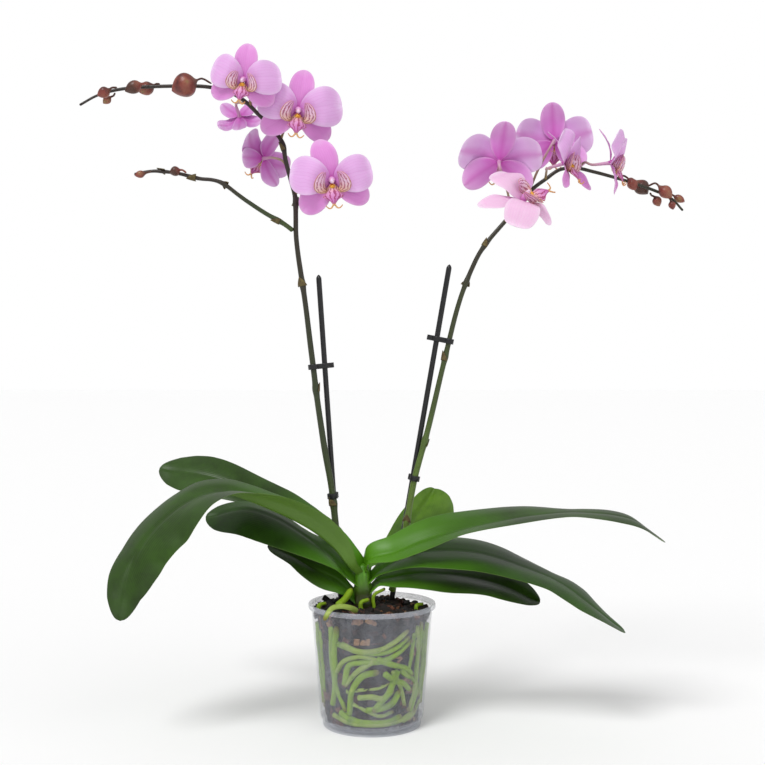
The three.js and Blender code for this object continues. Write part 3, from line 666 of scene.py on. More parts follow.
# support rod: steel wire in a glossy black plastic sleeve, so it is dark with a thin bright line
stakeSkin, stakeTree, stakeShader = newMaterial("blackPlasticSleeve",
                                                Base_Color=hexColour(stakeLook["colour"]), Roughness=0.3,
                                                IOR=1.5)
stakePlace = addNode(stakeTree, "ShaderNodeTexCoord")
stakeNoise = addNode(stakeTree, "ShaderNodeTexNoise", {"Scale": 340.0, "Detail": 4.0},
                     {"Vector": stakePlace.outputs["Object"]})
stakeTone = addNode(stakeTree, "ShaderNodeValToRGB", {"stops": [(0.4, "#08090A"), (0.75, "#141518")]},
                    {"Fac": stakeNoise.outputs["Fac"]})
stakeGloss = addNode(stakeTree, "ShaderNodeMapRange", {"To Min": 0.24, "To Max": 0.5},
                     {"Value": stakeNoise.outputs["Fac"]})
stakeBump = addNode(stakeTree, "ShaderNodeBump", {"Strength": 0.25, "Distance": 0.0002},
                    {"Height": stakeNoise.outputs["Fac"]})
stakeTree.links.new(stakeTone.outputs["Color"], stakeShader.inputs["Base Color"])
stakeTree.links.new(stakeGloss.outputs[0], stakeShader.inputs["Roughness"])
stakeTree.links.new(stakeBump.outputs["Normal"], stakeShader.inputs["Normal"])


def makeStake(node):
    places, _ = solidGraph(node)
    low = places[places[:, 2] < places[:, 2].min() + 0.006]
    high = places[places[:, 2] > places[:, 2].max() - 0.006]
    a, b = low.mean(axis=0), high.mean(axis=0)
    radius = np.linalg.norm(np.cross(places - a, unit(b - a)), axis=1).max()
    length = np.linalg.norm(b - a)
    t = np.concatenate([np.linspace(0, 0.012, 6), np.linspace(0.03, 0.97, 34), np.linspace(0.985, 1, 8)])
    path = a + (b - a) * t[:, None]
    near = np.clip((1 - t) * length / stakeLook["tipRun"], 0, 1)
    radii = radius * np.sqrt(np.maximum(1 - (1 - near) ** 2, 0.12))
    return place(tubeSolid(node.replace("_", "-"), path, radii, stakeSkin, stakeLook["sides"]), "stake",
                 node)


for node in sorted(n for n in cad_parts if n.startswith("stake_")):
    makeStake(node)


clipLook = {"colour": "#101114", "bevel": 0.00045}
# small clip moulded in black polypropylene: satin, slightly rounded edges
clipSkin, clipTree, clipShader = newMaterial("blackMouldedClip", Base_Color=hexColour(clipLook["colour"]),
                                             Roughness=0.38, IOR=1.49)
clipPlace = addNode(clipTree, "ShaderNodeTexCoord")
clipNoise = addNode(clipTree, "ShaderNodeTexNoise", {"Scale": 900.0, "Detail": 3.0},
                    {"Vector": clipPlace.outputs["Object"]})
clipTone = addNode(clipTree, "ShaderNodeValToRGB", {"stops": [(0.35, "#08090B"), (0.75, "#131417")]},
                   {"Fac": clipNoise.outputs["Fac"]})
clipGloss = addNode(clipTree, "ShaderNodeMapRange", {"To Min": 0.3, "To Max": 0.52},
                    {"Value": clipNoise.outputs["Fac"]})
clipTree.links.new(clipTone.outputs["Color"], clipShader.inputs["Base Color"])
clipTree.links.new(clipGloss.outputs[0], clipShader.inputs["Roughness"])


def roundedCopy(node, skin, bevel, segments=2):
    # a merged copy of a node with its sharp edges rounded
    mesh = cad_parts[node].data.copy()
    piece = bpy.data.objects.new(node.replace("_", "-"), mesh)
    bpy.context.scene.collection.objects.link(piece)
    tidyMesh(piece, 4e-6)
    mesh.materials.clear()
    mesh.materials.append(skin)
    mesh.polygons.foreach_set("use_smooth", [True] * len(mesh.polygons))
    soften = piece.modifiers.new("bevel", "BEVEL")
    soften.width, soften.segments = bevel, segments
    soften.limit_method, soften.angle_limit = "ANGLE", math.radians(40)
    soften.harden_normals = True
    return piece


for node in sorted(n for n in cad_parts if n.startswith("clip_")):
    place(roundedCopy(node, clipSkin, clipLook["bevel"]), "clip", node)
print("stakes and clips made")


# ---- buds

budLook = {"sides": 24, "rows": 46, "seam": 0.07}


def budSkin():
    # closed sepals: waxy, rose to olive, dark brown towards the stalk, finely freckled
    skin, tree, shader = newMaterial("budSepals", Roughness=0.4, IOR=1.42, Coat_Weight=0.15,
                                     Coat_Roughness=0.3)
    spot = addNode(tree, "ShaderNodeTexCoord")
    run = addNode(tree, "ShaderNodeSeparateXYZ", links={0: spot.outputs["UV"]})
    cloud = addNode(tree, "ShaderNodeTexNoise", {"Scale": 95.0, "Detail": 4.0},
                    {"Vector": spot.outputs["Object"]})
    tone = addNode(tree, "ShaderNodeValToRGB",
                   {"stops": [(0.30, "#4E1F1C"), (0.48, "#7E3A30"), (0.62, "#8C5440"),
                              (0.78, "#7B7A3C")]},
                   {"Fac": cloud.outputs["Fac"]})
    stalk = addNode(tree, "ShaderNodeMapRange", {"From Min": 0.35, "From Max": 0.62},
                    {"Value": run.outputs["X"]})
    mixed = addNode(tree, "ShaderNodeMix", {"data_type": "RGBA", 6: hexColour("#4A2A1E")},
                    {0: stalk.outputs[0], 7: tone.outputs["Color"]})
    tree.links.new(mixed.outputs[2], shader.inputs["Base Color"])
    freckle = addNode(tree, "ShaderNodeTexNoise", {"Scale": 700.0, "Detail": 3.0},
                      {"Vector": spot.outputs["Object"]})
    bump = addNode(tree, "ShaderNodeBump", {"Strength": 0.35, "Distance": 0.0003},
                   {"Height": freckle.outputs["Fac"]})
    tree.links.new(bump.outputs["Normal"], shader.inputs["Normal"])
    return skin


def makeBud(node, skin, seed):
    stemPoints = np.concatenate([solidGraph(n)[0] for n in ("spike_left", "spike_right",
            "spike_left_branch")])
    places, near = solidGraph(node)
    ends = [v for v in range(len(near)) if len(near[v]) == 6]
    closest = min(ends, key=lambda v: np.linalg.norm(stemPoints - places[v], axis=1).min())
    middles, radii, start, end = lineOf(node, 6, places[closest])
    middles = np.concatenate([[start], middles, [end]])
    radii = np.concatenate([[radii[0] * 0.6], radii, [radii[-1] * 0.2]])
    path = resample(middles, budLook["rows"])
    along = np.concatenate([[0], np.cumsum(np.linalg.norm(np.diff(middles, axis=0), axis=1))])
    radius = np.interp(np.linspace(0, 1, budLook["rows"]), along / along[-1], radii)
    for _ in range(3):
        radius[1:-1] = (radius[:-2] + 2 * radius[1:-1] + radius[2:]) / 4
    radius = radius * 1.06
    bud = tubeSolid(node.replace("_", "-"), path, radius, skin, budLook["sides"], 0.02, seed)
    # three seams where the sepals meet
    lines = pathFrames(path)
    body = np.clip((radius - radius.max() * 0.45) / (radius.max() * 0.3), 0, 1)
    for vertex in bud.data.vertices:
        spot = np.array(vertex.co)
        k = int(np.argmin(np.sum((path - spot) ** 2, axis=1)))
        off = spot - path[k]
        angle = math.atan2(np.dot(off, lines[2][k]), np.dot(off, lines[1][k]))
        dent = budLook["seam"] * body[k] * math.exp(-((math.fmod(angle + 7 + seed,
                2 * math.pi / 3) - math.pi / 3) / 0.16) ** 2)
        vertex.co = Vector(path[k] + off * (1 - dent))
    return place(bud, "bud", node)


sepalSkin = budSkin()
for order, node in enumerate(sorted(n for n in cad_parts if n.startswith("bud_"))):
    makeBud(node, sepalSkin, order)
print("buds made")


# ---- flowers

# facing is where the flower looks, roll turns it about that line, span is its width in mm, tone
# runs from pale to deep, and a tepal's name changes that tepal alone
swept = {"turn": 60, "width": 0.46, "lift": 0.22, "forward": 0.10, "twist": 0.35}
flowerLook = {
    "flower_left_1": {"facing": (-0.08, -0.97, -0.14), "roll": -10, "span": 68, "tone": 0.25},
    "flower_left_2": {"facing": (0.1, 0.8, -0.55), "roll": 172, "span": 48, "tone": 0.9,
                      "petalLeft": {"width": 0.36, "lift": 0.16},
                      "petalRight": {"width": 0.36, "lift": 0.16}, "sepalLeft": {"turn": 140},
                      "sepalRight": {"turn": -140}},
    "flower_left_3": {"facing": (0.12, -0.97, -0.14), "roll": -6, "span": 78, "tone": 0.35,
                      "petalRight": {"length": 0.56}},
    "flower_left_4": {"facing": (-0.66, 0.72, 0.1), "roll": 24, "span": 60, "tone": 0.8},
    "flower_left_5": {"facing": (0.06, -0.97, -0.1), "roll": 5, "span": 80, "tone": 0.45,
                      "dorsal": {"turn": 14},
                      "sepalLeft": {"turn": 128}, "sepalRight": {"turn": -118}},
    "flower_right_1": {"facing": (0.08, 0.9, 0.4), "roll": 6, "span": 80, "tone": 0.6},
    "flower_right_2": {"facing": (0.12, 0.97, 0.1), "roll": 0, "span": 77, "tone": 0.6},
    "flower_right_3": {"facing": (0.25, -0.62, 0.74), "roll": 95, "span": 80, "tone": 0.1,
                       "dorsal": {"length": 0.58, "width": 0.24},
                       "petalLeft": {"turn": 58, "width": 0.40, "length": 0.47},
                       "petalRight": {"turn": -66, "width": 0.50, "length": 0.47, "lift": 0.20},
                       "sepalLeft": {"length": 0.40, "width": 0.24},
                       "sepalRight": {"length": 0.38, "width": 0.26}},
    "flower_right_4": {"facing": (0.88, -0.42, 0.2), "roll": -2, "span": 68, "tone": 0.3,
                       "dorsal": {"width": 0.20, "back": 0.14},
                       "petalLeft": dict(swept, turn=52),
                       "petalRight": dict(swept, turn=-66, twist=-0.35),
                       "sepalLeft": {"turn": 142, "width": 0.24, "lift": 0.10},
                       "sepalRight": {"turn": -132, "width": 0.26, "lift": 0.30}},
    "flower_right_5": {"facing": (0.95, -0.28, 0.05), "roll": 2, "span": 66, "tone": 0.3,
                       "dorsal": {"width": 0.18, "back": 0.13},
                       "petalLeft": dict(swept, turn=54),
                       "petalRight": dict(swept, turn=-60, twist=-0.35),
                       "sepalLeft": {"turn": 146, "width": 0.24, "lift": 0.16},
                       "sepalRight": {"turn": -146, "width": 0.24, "lift": 0.10}},
}
# shares of the span: turn is the angle from straight up, a and b shape the outline's foot and tip
tepalLook = {
    "dorsal": {"turn": 0, "length": 0.49, "width": 0.31, "a": 0.60, "b": 0.50, "forward": 0.02,
               "back": 0.07, "cup": 0.10},
    "sepalLeft": {"turn": 124, "length": 0.50, "width": 0.33, "a": 0.62, "b": 0.50, "forward": 0.03,
                  "back": 0.09, "cup": 0.12},
    "sepalRight": {"turn": -124, "length": 0.50, "width": 0.33, "a": 0.62, "b": 0.50, "forward": 0.03,
                   "back": 0.09, "cup": 0.12},
    "petalLeft": {"turn": 77, "length": 0.50, "width": 0.47, "a": 0.55, "b": 0.36, "forward": 0.09,
                  "back": 0.09, "cup": -0.05},
    "petalRight": {"turn": -77, "length": 0.50, "width": 0.47, "a": 0.55, "b": 0.36, "forward": 0.09,
                   "back": 0.09, "cup": -0.05},
}
petalLook = {"thickness": 0.75, "rows": 40, "columns": 31}


def petalSkin(name, centre, field, edge, backRib, back):
    # orchid tepal: thin crisp tissue that scatters light inside, so soft sheen and faint darker
    # veins that fan out from the foot about 1.5 mm apart
    skin, tree, shader = newMaterial(name, Roughness=0.52, IOR=1.38, Subsurface_Weight=0.12,
                                     Subsurface_Scale=0.004,
                                     Sheen_Weight=0.15, Sheen_Roughness=0.4)
    shader.inputs["Subsurface Radius"].default_value = (1.0, 0.5, 0.8)
    spot = addNode(tree, "ShaderNodeTexCoord")
    run = addNode(tree, "ShaderNodeSeparateXYZ", links={0: spot.outputs["UV"]})
    side = addNode(tree, "ShaderNodeAttribute", {"attribute_name": "side"})
    cloud = addNode(tree, "ShaderNodeTexNoise", {"Scale": 70.0, "Detail": 3.0},
                    {"Vector": spot.outputs["Object"]})
    sway = addNode(tree, "ShaderNodeMath", {"operation": "MULTIPLY_ADD", 1: 0.24},
                   {0: cloud.outputs["Fac"], 2: run.outputs["X"]})
    level = addNode(tree, "ShaderNodeMath", {"operation": "SUBTRACT", 1: 0.12}, {0: sway.outputs[0]})
    inner = addNode(tree, "ShaderNodeValToRGB",
                    {"stops": [(0.04, centre), (0.36, field), (0.72, field), (0.98, edge)]},
                    {"Fac": level.outputs[0]})
    off = addNode(tree, "ShaderNodeMath", {"operation": "SUBTRACT", 1: 0.5}, {0: run.outputs["Y"]})
    reach = addNode(tree, "ShaderNodeMath", {"operation": "ABSOLUTE"}, {0: off.outputs[0]})
    pale = addNode(tree, "ShaderNodeMapRange",
                   {"From Min": 0.25, "From Max": 0.5, "To Min": 0.0, "To Max": 0.7},
                   {"Value": reach.outputs[0]})
    edged = addNode(tree, "ShaderNodeMix", {"data_type": "RGBA", 7: hexColour(edge)},
                    {0: pale.outputs[0], 6: inner.outputs["Color"]})
    fan = addNode(tree, "ShaderNodeMath", {"operation": "MULTIPLY", 1: 17.0}, {0: run.outputs["Y"]})
    bent = addNode(tree, "ShaderNodeMath", {"operation": "MULTIPLY_ADD", 1: 1.6},
                   {0: cloud.outputs["Fac"], 2: fan.outputs[0]})
    vein = addNode(tree, "ShaderNodeMath", {"operation": "PINGPONG", 1: 0.5}, {0: bent.outputs[0]})
    thin = addNode(tree, "ShaderNodeMapRange",
                   {"From Min": 0.0, "From Max": 0.16, "To Min": 0.22, "To Max": 0.0},
                   {"Value": vein.outputs[0]})
    veined = addNode(tree, "ShaderNodeMix", {"data_type": "RGBA", 7: hexColour(centre)},
                     {0: thin.outputs[0], 6: edged.outputs[2]})
    behind = addNode(tree, "ShaderNodeValToRGB", {"stops": [(0.08, backRib), (0.42, back), (1.0, edge)]},
                     {"Fac": level.outputs[0]})
    rib = addNode(tree, "ShaderNodeMapRange",
                  {"From Min": 0.01, "From Max": 0.12, "To Min": 0.45, "To Max": 0.0},
                  {"Value": reach.outputs[0]})
    ribbed = addNode(tree, "ShaderNodeMix", {"data_type": "RGBA", 7: hexColour(backRib)},
                     {0: rib.outputs[0], 6: behind.outputs["Color"]})
    backEdge = addNode(tree, "ShaderNodeMix", {"data_type": "RGBA", 7: hexColour(edge)},
                       {0: pale.outputs[0], 6: ribbed.outputs[2]})
    sided = addNode(tree, "ShaderNodeMix", {"data_type": "RGBA"},
                    {0: side.outputs["Fac"], 6: veined.outputs[2], 7: backEdge.outputs[2]})
    tree.links.new(sided.outputs[2], shader.inputs["Base Color"])
    cells = addNode(tree, "ShaderNodeTexNoise", {"Scale": 1100.0, "Detail": 2.0},
                    {"Vector": spot.outputs["Object"]})
    height = addNode(tree, "ShaderNodeMath", {"operation": "MULTIPLY_ADD", 1: 0.25},
                     {0: cells.outputs["Fac"], 2: vein.outputs[0]})
    bump = addNode(tree, "ShaderNodeBump", {"Strength": 0.3, "Distance": 0.0002},
                   {"Height": height.outputs[0]})
    tree.links.new(bump.outputs["Normal"], shader.inputs["Normal"])
    return skin


petalSkins = {
    "petal": petalSkin("petalTissue", "#C66CBF", "#DBA8DC", "#E4C8E8", "#C257B2", "#D7A0DA"),
    "sepal": petalSkin("sepalTissue", "#C04CAE", "#D489CC", "#DDB0DA", "#BE48AC", "#CC7CC6"),
    "palePetal": petalSkin("petalTissuePale", "#D594C6", "#E2B8D6", "#E9D2E5", "#C86FAE", "#D9A8CC"),
    "deepPetal": petalSkin("petalTissueDeep", "#B445A6", "#CC83C8", "#DCBDE0", "#B23AA0", "#C478C0"),
}


def flowerFrame(node):
    pose = flowerLook[node]
    z = unit(np.array(pose["facing"]))
    x = unit(np.cross([0, 0, 1.0], z))
    y = np.cross(z, x)
    turn = math.radians(pose["roll"])
    x, y = math.cos(turn) * x + math.sin(turn) * y, math.cos(turn) * y - math.sin(turn) * x
    axes, span = np.array([x, y, z]), pose["span"] * mm
    local = solidGraph(node)[0] @ axes.T
    level = local[:, 2].max() - 0.229 * span
    disc = local[local[:, 2] > level - 0.10 * span]
    centre = np.array([(disc[:, 0].max() + disc[:, 0].min()) / 2, disc[:, 1].max() - 0.49 * span, level])
    return centre @ axes, axes, span


def tepalGrid(look, seed):
    # the tepal's middle sheet in shares of the span: x across the flower, y up it, z out of it
    rows, columns = petalLook["rows"], petalLook["columns"]
    s = (1 - np.cos(np.linspace(0, math.pi, rows))) / 2
    q = np.sin(np.linspace(-math.pi / 2, math.pi / 2, columns))
    a, b = look["a"], look["b"]
    peak = (a / (a + b)) ** a * (b / (a + b)) ** b
    half = look["width"] / 2 * s ** a * (1 - s) ** b / peak
    along = 0.025 + (look["length"] - 0.025) * s
    turn = math.radians(look["turn"])
    out = np.array([-math.sin(turn), math.cos(turn)])
    across = np.array([math.cos(turn), math.sin(turn)])
    bend = look.get("sway", 0.0) * s ** 2
    flat = out[None, None] * along[:, None, None] + across[None, None] * (half[:, None] * q[None]
            + bend[:, None])[..., None]
    z = look["forward"] * np.sin(math.pi * np.minimum(s * 1.1,
                                                      1))[:, None] - look["back"] * (s ** 2.2)[:, None]
    z = z + look["cup"] * (half[:, None] * q[None]) ** 2 / 0.15 + look.get("lift",
            0.0) * (s ** 1.5)[:, None]
    z = z + look.get("twist", 0.0) * half[:, None] * q[None]
    ripple = 0.014 * np.abs(q)[None] ** 2 * np.sin(s[:, None] * 9 + seed * 1.7 + 1.5 * q[None])
    z = z + ripple * np.sin(math.pi * s)[:, None] + look.get("base", 0.0)
    return np.concatenate([flat, z[..., None]], axis=2), half, q


def makeTepal(name, node, look, kind, seed):
    centre, axes, span = flowerFrame(node)
    sheet, half, q = tepalGrid(look, seed)
    sheet = sheet * span
    normal = unit(np.cross(np.gradient(sheet, axis=0), np.gradient(sheet, axis=1)))
    normal = normal * np.sign(normal[..., 2].sum())
    t = petalLook["thickness"] * mm * np.sqrt(np.maximum(1 - q ** 4,
            0))[None] * np.clip(half * span / 0.002, 0, 1)[:, None]
    # midline crease
    crease = 0.35 * mm * np.exp(-(q[None] * half[:, None] * span / 0.0013) ** 2) * np.clip(half * span
            / 0.006, 0, 1)[:, None]
    front = (sheet + normal * (t / 2 - crease)[..., None]) @ axes + centre
    back = (sheet - normal * (t / 2 + crease)[..., None]) @ axes + centre
    piece = sheetSolid(name, front, back, petalSkins[kind])
    return place(piece, "petal", node)


def lipSkin(name, ground, stripe):
    # lip: thick fleshy waxy tissue, striped about 1.5 mm apart from its foot outwards
    skin, tree, shader = newMaterial(name, Roughness=0.42, IOR=1.4, Subsurface_Weight=0.1,
                                     Subsurface_Scale=0.003)
    spot = addNode(tree, "ShaderNodeTexCoord")
    run = addNode(tree, "ShaderNodeSeparateXYZ", links={0: spot.outputs["UV"]})
    base = addNode(tree, "ShaderNodeValToRGB", {"stops": ground}, {"Fac": run.outputs["X"]})
    grain = addNode(tree, "ShaderNodeTexNoise", {"Scale": 380.0, "Detail": 3.0},
                    {"Vector": spot.outputs["Object"]})
    lines = addNode(tree, "ShaderNodeMath", {"operation": "MULTIPLY", 1: 6.0}, {0: run.outputs["Y"]})
    bent = addNode(tree, "ShaderNodeMath", {"operation": "MULTIPLY_ADD", 1: 1.3},
                   {0: grain.outputs["Fac"], 2: lines.outputs[0]})
    fold = addNode(tree, "ShaderNodeMath", {"operation": "PINGPONG", 1: 0.5}, {0: bent.outputs[0]})
    mark = addNode(tree, "ShaderNodeMapRange",
                   {"From Min": 0.10, "From Max": 0.24, "To Min": 0.85, "To Max": 0.0},
                   {"Value": fold.outputs[0]})
    inked = addNode(tree, "ShaderNodeMix", {"data_type": "RGBA", 7: hexColour(stripe)},
                    {0: mark.outputs[0], 6: base.outputs["Color"]})
    off = addNode(tree, "ShaderNodeMath", {"operation": "SUBTRACT", 1: 0.5}, {0: run.outputs["Y"]})
    reach = addNode(tree, "ShaderNodeMath", {"operation": "ABSOLUTE"}, {0: off.outputs[0]})
    rim = addNode(tree, "ShaderNodeMapRange",
                  {"From Min": 0.34, "From Max": 0.46, "To Min": 0.0, "To Max": 0.85},
                  {"Value": reach.outputs[0]})
    rimmed = addNode(tree, "ShaderNodeMix", {"data_type": "RGBA", 7: hexColour(lipLook["rim"])},
                     {0: rim.outputs[0], 6: inked.outputs[2]})
    tree.links.new(rimmed.outputs[2], shader.inputs["Base Color"])
    bump = addNode(tree, "ShaderNodeBump", {"Strength": 0.3, "Distance": 0.0002},
                   {"Height": grain.outputs["Fac"]})
    tree.links.new(bump.outputs["Normal"], shader.inputs["Normal"])
    return skin


lipLook = {"midWidth": 0.26, "sideWidth": 0.21, "columnWidth": 0.028, "rim": "#B87A2E"}

midTissue = lipSkin("lipMidLobe", [(0.0, "#D9912A"), (0.25, "#E6C48E"), (0.5, "#D48FC0"),
                                   (0.75, "#C26FB4"), (1.0, "#DDB060")], "#93245A")
sideTissue = lipSkin("lipSideLobe", [(0.0, "#C9822A"), (0.3, "#E2BC92"), (0.65, "#E6C4DA"),
                                     (1.0, "#CF8FBE")], "#9B2F5C")
threadTissue = lipSkin("lipThread", [(0.0, "#E3BE82"), (1.0, "#D9A15A")], "#A8503A")
# the column is smooth waxy tissue, whitish with a pink flush at its foot
columnTissue, columnTree, columnShader = newMaterial("columnWax", Roughness=0.35, IOR=1.42,
                                                     Subsurface_Weight=0.15, Subsurface_Scale=0.003)
columnSpot = addNode(columnTree, "ShaderNodeTexCoord")
columnRun = addNode(columnTree, "ShaderNodeSeparateXYZ", links={0: columnSpot.outputs["UV"]})
columnTone = addNode(columnTree, "ShaderNodeValToRGB",
                     {"stops": [(0.1, "#B04C9E"), (0.6, "#D58CC6"), (0.95, "#E6C3DC")]},
                     {"Fac": columnRun.outputs["X"]})
columnTree.links.new(columnTone.outputs["Color"], columnShader.inputs["Base Color"])
# bumpy callus between the side lobes
callusTissue, callusTree, callusShader = newMaterial("callusWax", Roughness=0.4, IOR=1.42,
                                                     Subsurface_Weight=0.1, Subsurface_Scale=0.002)
callusSpot = addNode(callusTree, "ShaderNodeTexCoord")
callusNoise = addNode(callusTree, "ShaderNodeTexNoise", {"Scale": 520.0, "Detail": 2.0},
                      {"Vector": callusSpot.outputs["Object"]})
callusTone = addNode(callusTree, "ShaderNodeValToRGB",
                     {"stops": [(0.38, "#9A3418"), (0.5, "#E0A02C"), (0.75, "#F2C94E")]},
                     {"Fac": callusNoise.outputs["Fac"]})
callusTree.links.new(callusTone.outputs["Color"], callusShader.inputs["Base Color"])


def lobeGrid(rows, columns, halfAt, pathAt, acrossAt, cup):
    s = (1 - np.cos(np.linspace(0, math.pi, rows))) / 2
    q = np.sin(np.linspace(-math.pi / 2, math.pi / 2, columns))
    half = halfAt(s)
    path, across = pathAt(s), acrossAt(s)
    ahead = np.gradient(path, axis=0)
    up = unit(np.cross(across, ahead))
    grid = path[:, None] + across[:, None] * (half[:, None] * q[None])[..., None]
    return grid + up[:, None] * (cup * half[:, None] * q[None] ** 2)[..., None], half, q


def makeLobe(name, node, grid, half, q, skin, thickness):
    centre, axes, span = flowerFrame(node)
    grid = grid * span
    normal = unit(np.cross(np.gradient(grid, axis=0), np.gradient(grid, axis=1)))
    t = thickness * mm * np.sqrt(np.maximum(1 - q ** 4, 0))[None] * np.clip(half * span / 0.0015, 0,
            1)[:, None]
    piece = sheetSolid(name, (grid + normal * (t / 2)[..., None]) @ axes + centre,
                       (grid - normal * (t / 2)[..., None]) @ axes + centre, skin)
    return place(piece, "petal", node)


def makeLip(node, seed):
    centre, axes, span = flowerFrame(node)
    title = node.replace("_", "-")
    bez = lambda a, b, c, s: a * (1 - s[:, None]) ** 2 + 2 * b * (s
            * (1 - s))[:, None] + c * s[:, None] ** 2
    # mid lobe: runs forward and down, an arrowhead with two curling threads
    path = lambda s: bez(np.array([0, -0.04, 0.03]), np.array([0, -0.13, 0.19]),
                         np.array([0, -0.30, 0.15]), s)
    halfMid = lambda s: lipLook["midWidth"] / 2 * (0.55 + 0.9
                                                   * np.exp(-((s - 0.62)
                                                           / 0.20) ** 2)) * np.sqrt(np.clip(1 - s, 0,
                                                                   1)) * np.clip(s * 8, 0, 1) ** 0.5
    grid, half, q = lobeGrid(26, 15, halfMid, path, lambda s: np.tile([1.0, 0, 0], (len(s), 1)), 0.55)
    makeLobe(title + "-lip", node, grid, half, q, midTissue, 1.3)
    for hand in (-1, 1):
        # side lobes stand up on both sides of the column and lean in
        side = lambda s: bez(np.array([hand * 0.015, -0.12, 0.03]), np.array([hand * 0.21, -0.16, 0.11]),
                             np.array([hand * 0.075, 0.09, 0.18]), s)
        lean = lambda s: unit(np.stack([hand * (0.75 - 0.2 * s), -0.45 + 0.5 * s, 0.5 + 0.1 * s], axis=1))
        wide = lambda s: lipLook["sideWidth"] / 2 * np.sqrt(np.clip(s * (1 - s) * 4, 0,
                1)) * (0.6 + 0.5 * s)
        grid, half, q = lobeGrid(20, 13, wide, side, lean, -0.35 * hand)
        makeLobe(title + "-lobe" + ("-left" if hand > 0 else "-right"), node, grid, half, q, sideTissue,
                 0.9)
        s = np.linspace(0, 1, 22)
        thread = bez(np.array([hand * 0.008, -0.285, 0.155]), np.array([hand * 0.045, -0.37, 0.15]),
                     np.array([hand * 0.095, -0.30, 0.20]), s)
        tendril = tubeSolid(title + "-thread" + ("-left" if hand > 0 else "-right"),
                            (thread * span) @ axes + centre,
                            np.linspace(0.85, 0.45, 22) * mm, threadTissue, 8)
        place(tendril, "petal", node)
    s = np.linspace(0, 1, 26)
    spine = bez(np.array([0, 0.0, -0.03]), np.array([0, 0.02, 0.06]), np.array([0, -0.025, 0.15]), s)
    column = tubeSolid(title + "-column", (spine * span) @ axes + centre,
                       span * (lipLook["columnWidth"] + 0.014 * np.sin(math.pi * np.clip(s * 1.05, 0,
                               1)) - 0.006 * s), columnTissue, 20, 0.02, seed)
    place(column, "petal", node)
    mound = bez(np.array([0, -0.075, 0.055]), np.array([0, -0.065, 0.10]), np.array([0, -0.085, 0.125]),
                s[:16] / s[15])
    callus = tubeSolid(title + "-callus", (mound * span) @ axes + centre,
                       span * 0.032 * np.sqrt(np.clip(1 - np.linspace(-0.96, 0.96, 16) ** 2, 0, 1)),
                       callusTissue, 18, 0.12, seed)
    place(callus, "petal", node)


def makeStalk(node, skin, seed):
    # the slender stalk from the stem to the flower's back
    centre, axes, span = flowerFrame(node)
    places, near = solidGraph(node)
    behind = (places - centre) @ axes[2] < -0.005
    stemPoints = np.concatenate([resample(lineOf(n, 6, (0, 0, 0.1))[0], 400) for n in ("spike_left",
            "spike_right")])
    far = places[behind]
    gap = np.array([np.linalg.norm(stemPoints - p, axis=1).min() for p in far])
    foot = stemPoints[np.argmin(np.linalg.norm(stemPoints - far[np.argmin(gap)], axis=1))]
    back = centre - axes[2] * 0.016
    rise = foot + (back - foot) * 0.35 + np.array([0, 0, 0.004])
    line = resample(np.array([foot, rise, back, centre - axes[2] * 0.004, centre + axes[2] * 0.003]), 40)
    radii = np.interp(np.linspace(0, 1, 40), [0, 0.1, 0.6, 0.85, 1],
                      np.array([1.6, 1.15, 1.2, 1.7, 2.4]) * mm)
    return place(tubeSolid(node.replace("_", "-") + "-stalk", line, radii, skin, 14, 0.03, seed), "petal",
                 node)


# flower stalk: green flushed with rose near the flower, smooth and waxy
stalkWax, stalkTree, stalkShader = newMaterial("stalkRind", Roughness=0.4, IOR=1.42)
stalkSpot = addNode(stalkTree, "ShaderNodeTexCoord")
stalkRun = addNode(stalkTree, "ShaderNodeSeparateXYZ", links={0: stalkSpot.outputs["UV"]})
stalkTone = addNode(stalkTree, "ShaderNodeValToRGB",
                    {"stops": [(0.05, "#7A6A3A"), (0.45, "#A98C80"), (0.8, "#C896B8")]},
                    {"Fac": stalkRun.outputs["X"]})
stalkTree.links.new(stalkTone.outputs["Color"], stalkShader.inputs["Base Color"])

for order, node in enumerate(sorted(flowerLook)):
    pose = flowerLook[node]
    for part, look in tepalLook.items():
        kind = "sepal" if "epal" in part or part == "dorsal" else "petal"
        if pose["tone"] < 0.2:
            kind = "palePetal"
        elif pose["tone"] > 0.7:
            kind = "deepPetal"
        own = dict(look, **pose.get(part, {}))
        own["base"] = 0.012 if part.startswith("petal") else 0.0
        own["turn"] += rng.uniform(-3.5, 3.5)
        own["length"] *= rng.uniform(0.96, 1.03)
        own["width"] *= rng.uniform(0.93, 1.05)
        own["sway"] = rng.uniform(-0.03, 0.03)
        makeTepal(node.replace("_", "-") + "-" + part, node, own, kind, order * 5 + len(part))
    makeLip(node, order)
    makeStalk(node, stalkWax, order)
print("flowers made")


# ---- pot

potLook = {
    "wallTop": 57.5, "wallFoot": 49.0, "foot": 46.5, "footHeight": 8.0, "wall": 0.9, "lift": 2.2,
    "lip": 4.8,
    "holes": 8, "holeRing": 32.0, "holeRadius": 3.5, "sides": 144,
    "haze": "#BFC2CC", "clear": 0.05, "cloudy": 0.17, "edge": 0.26, "thick": 0.20,
}


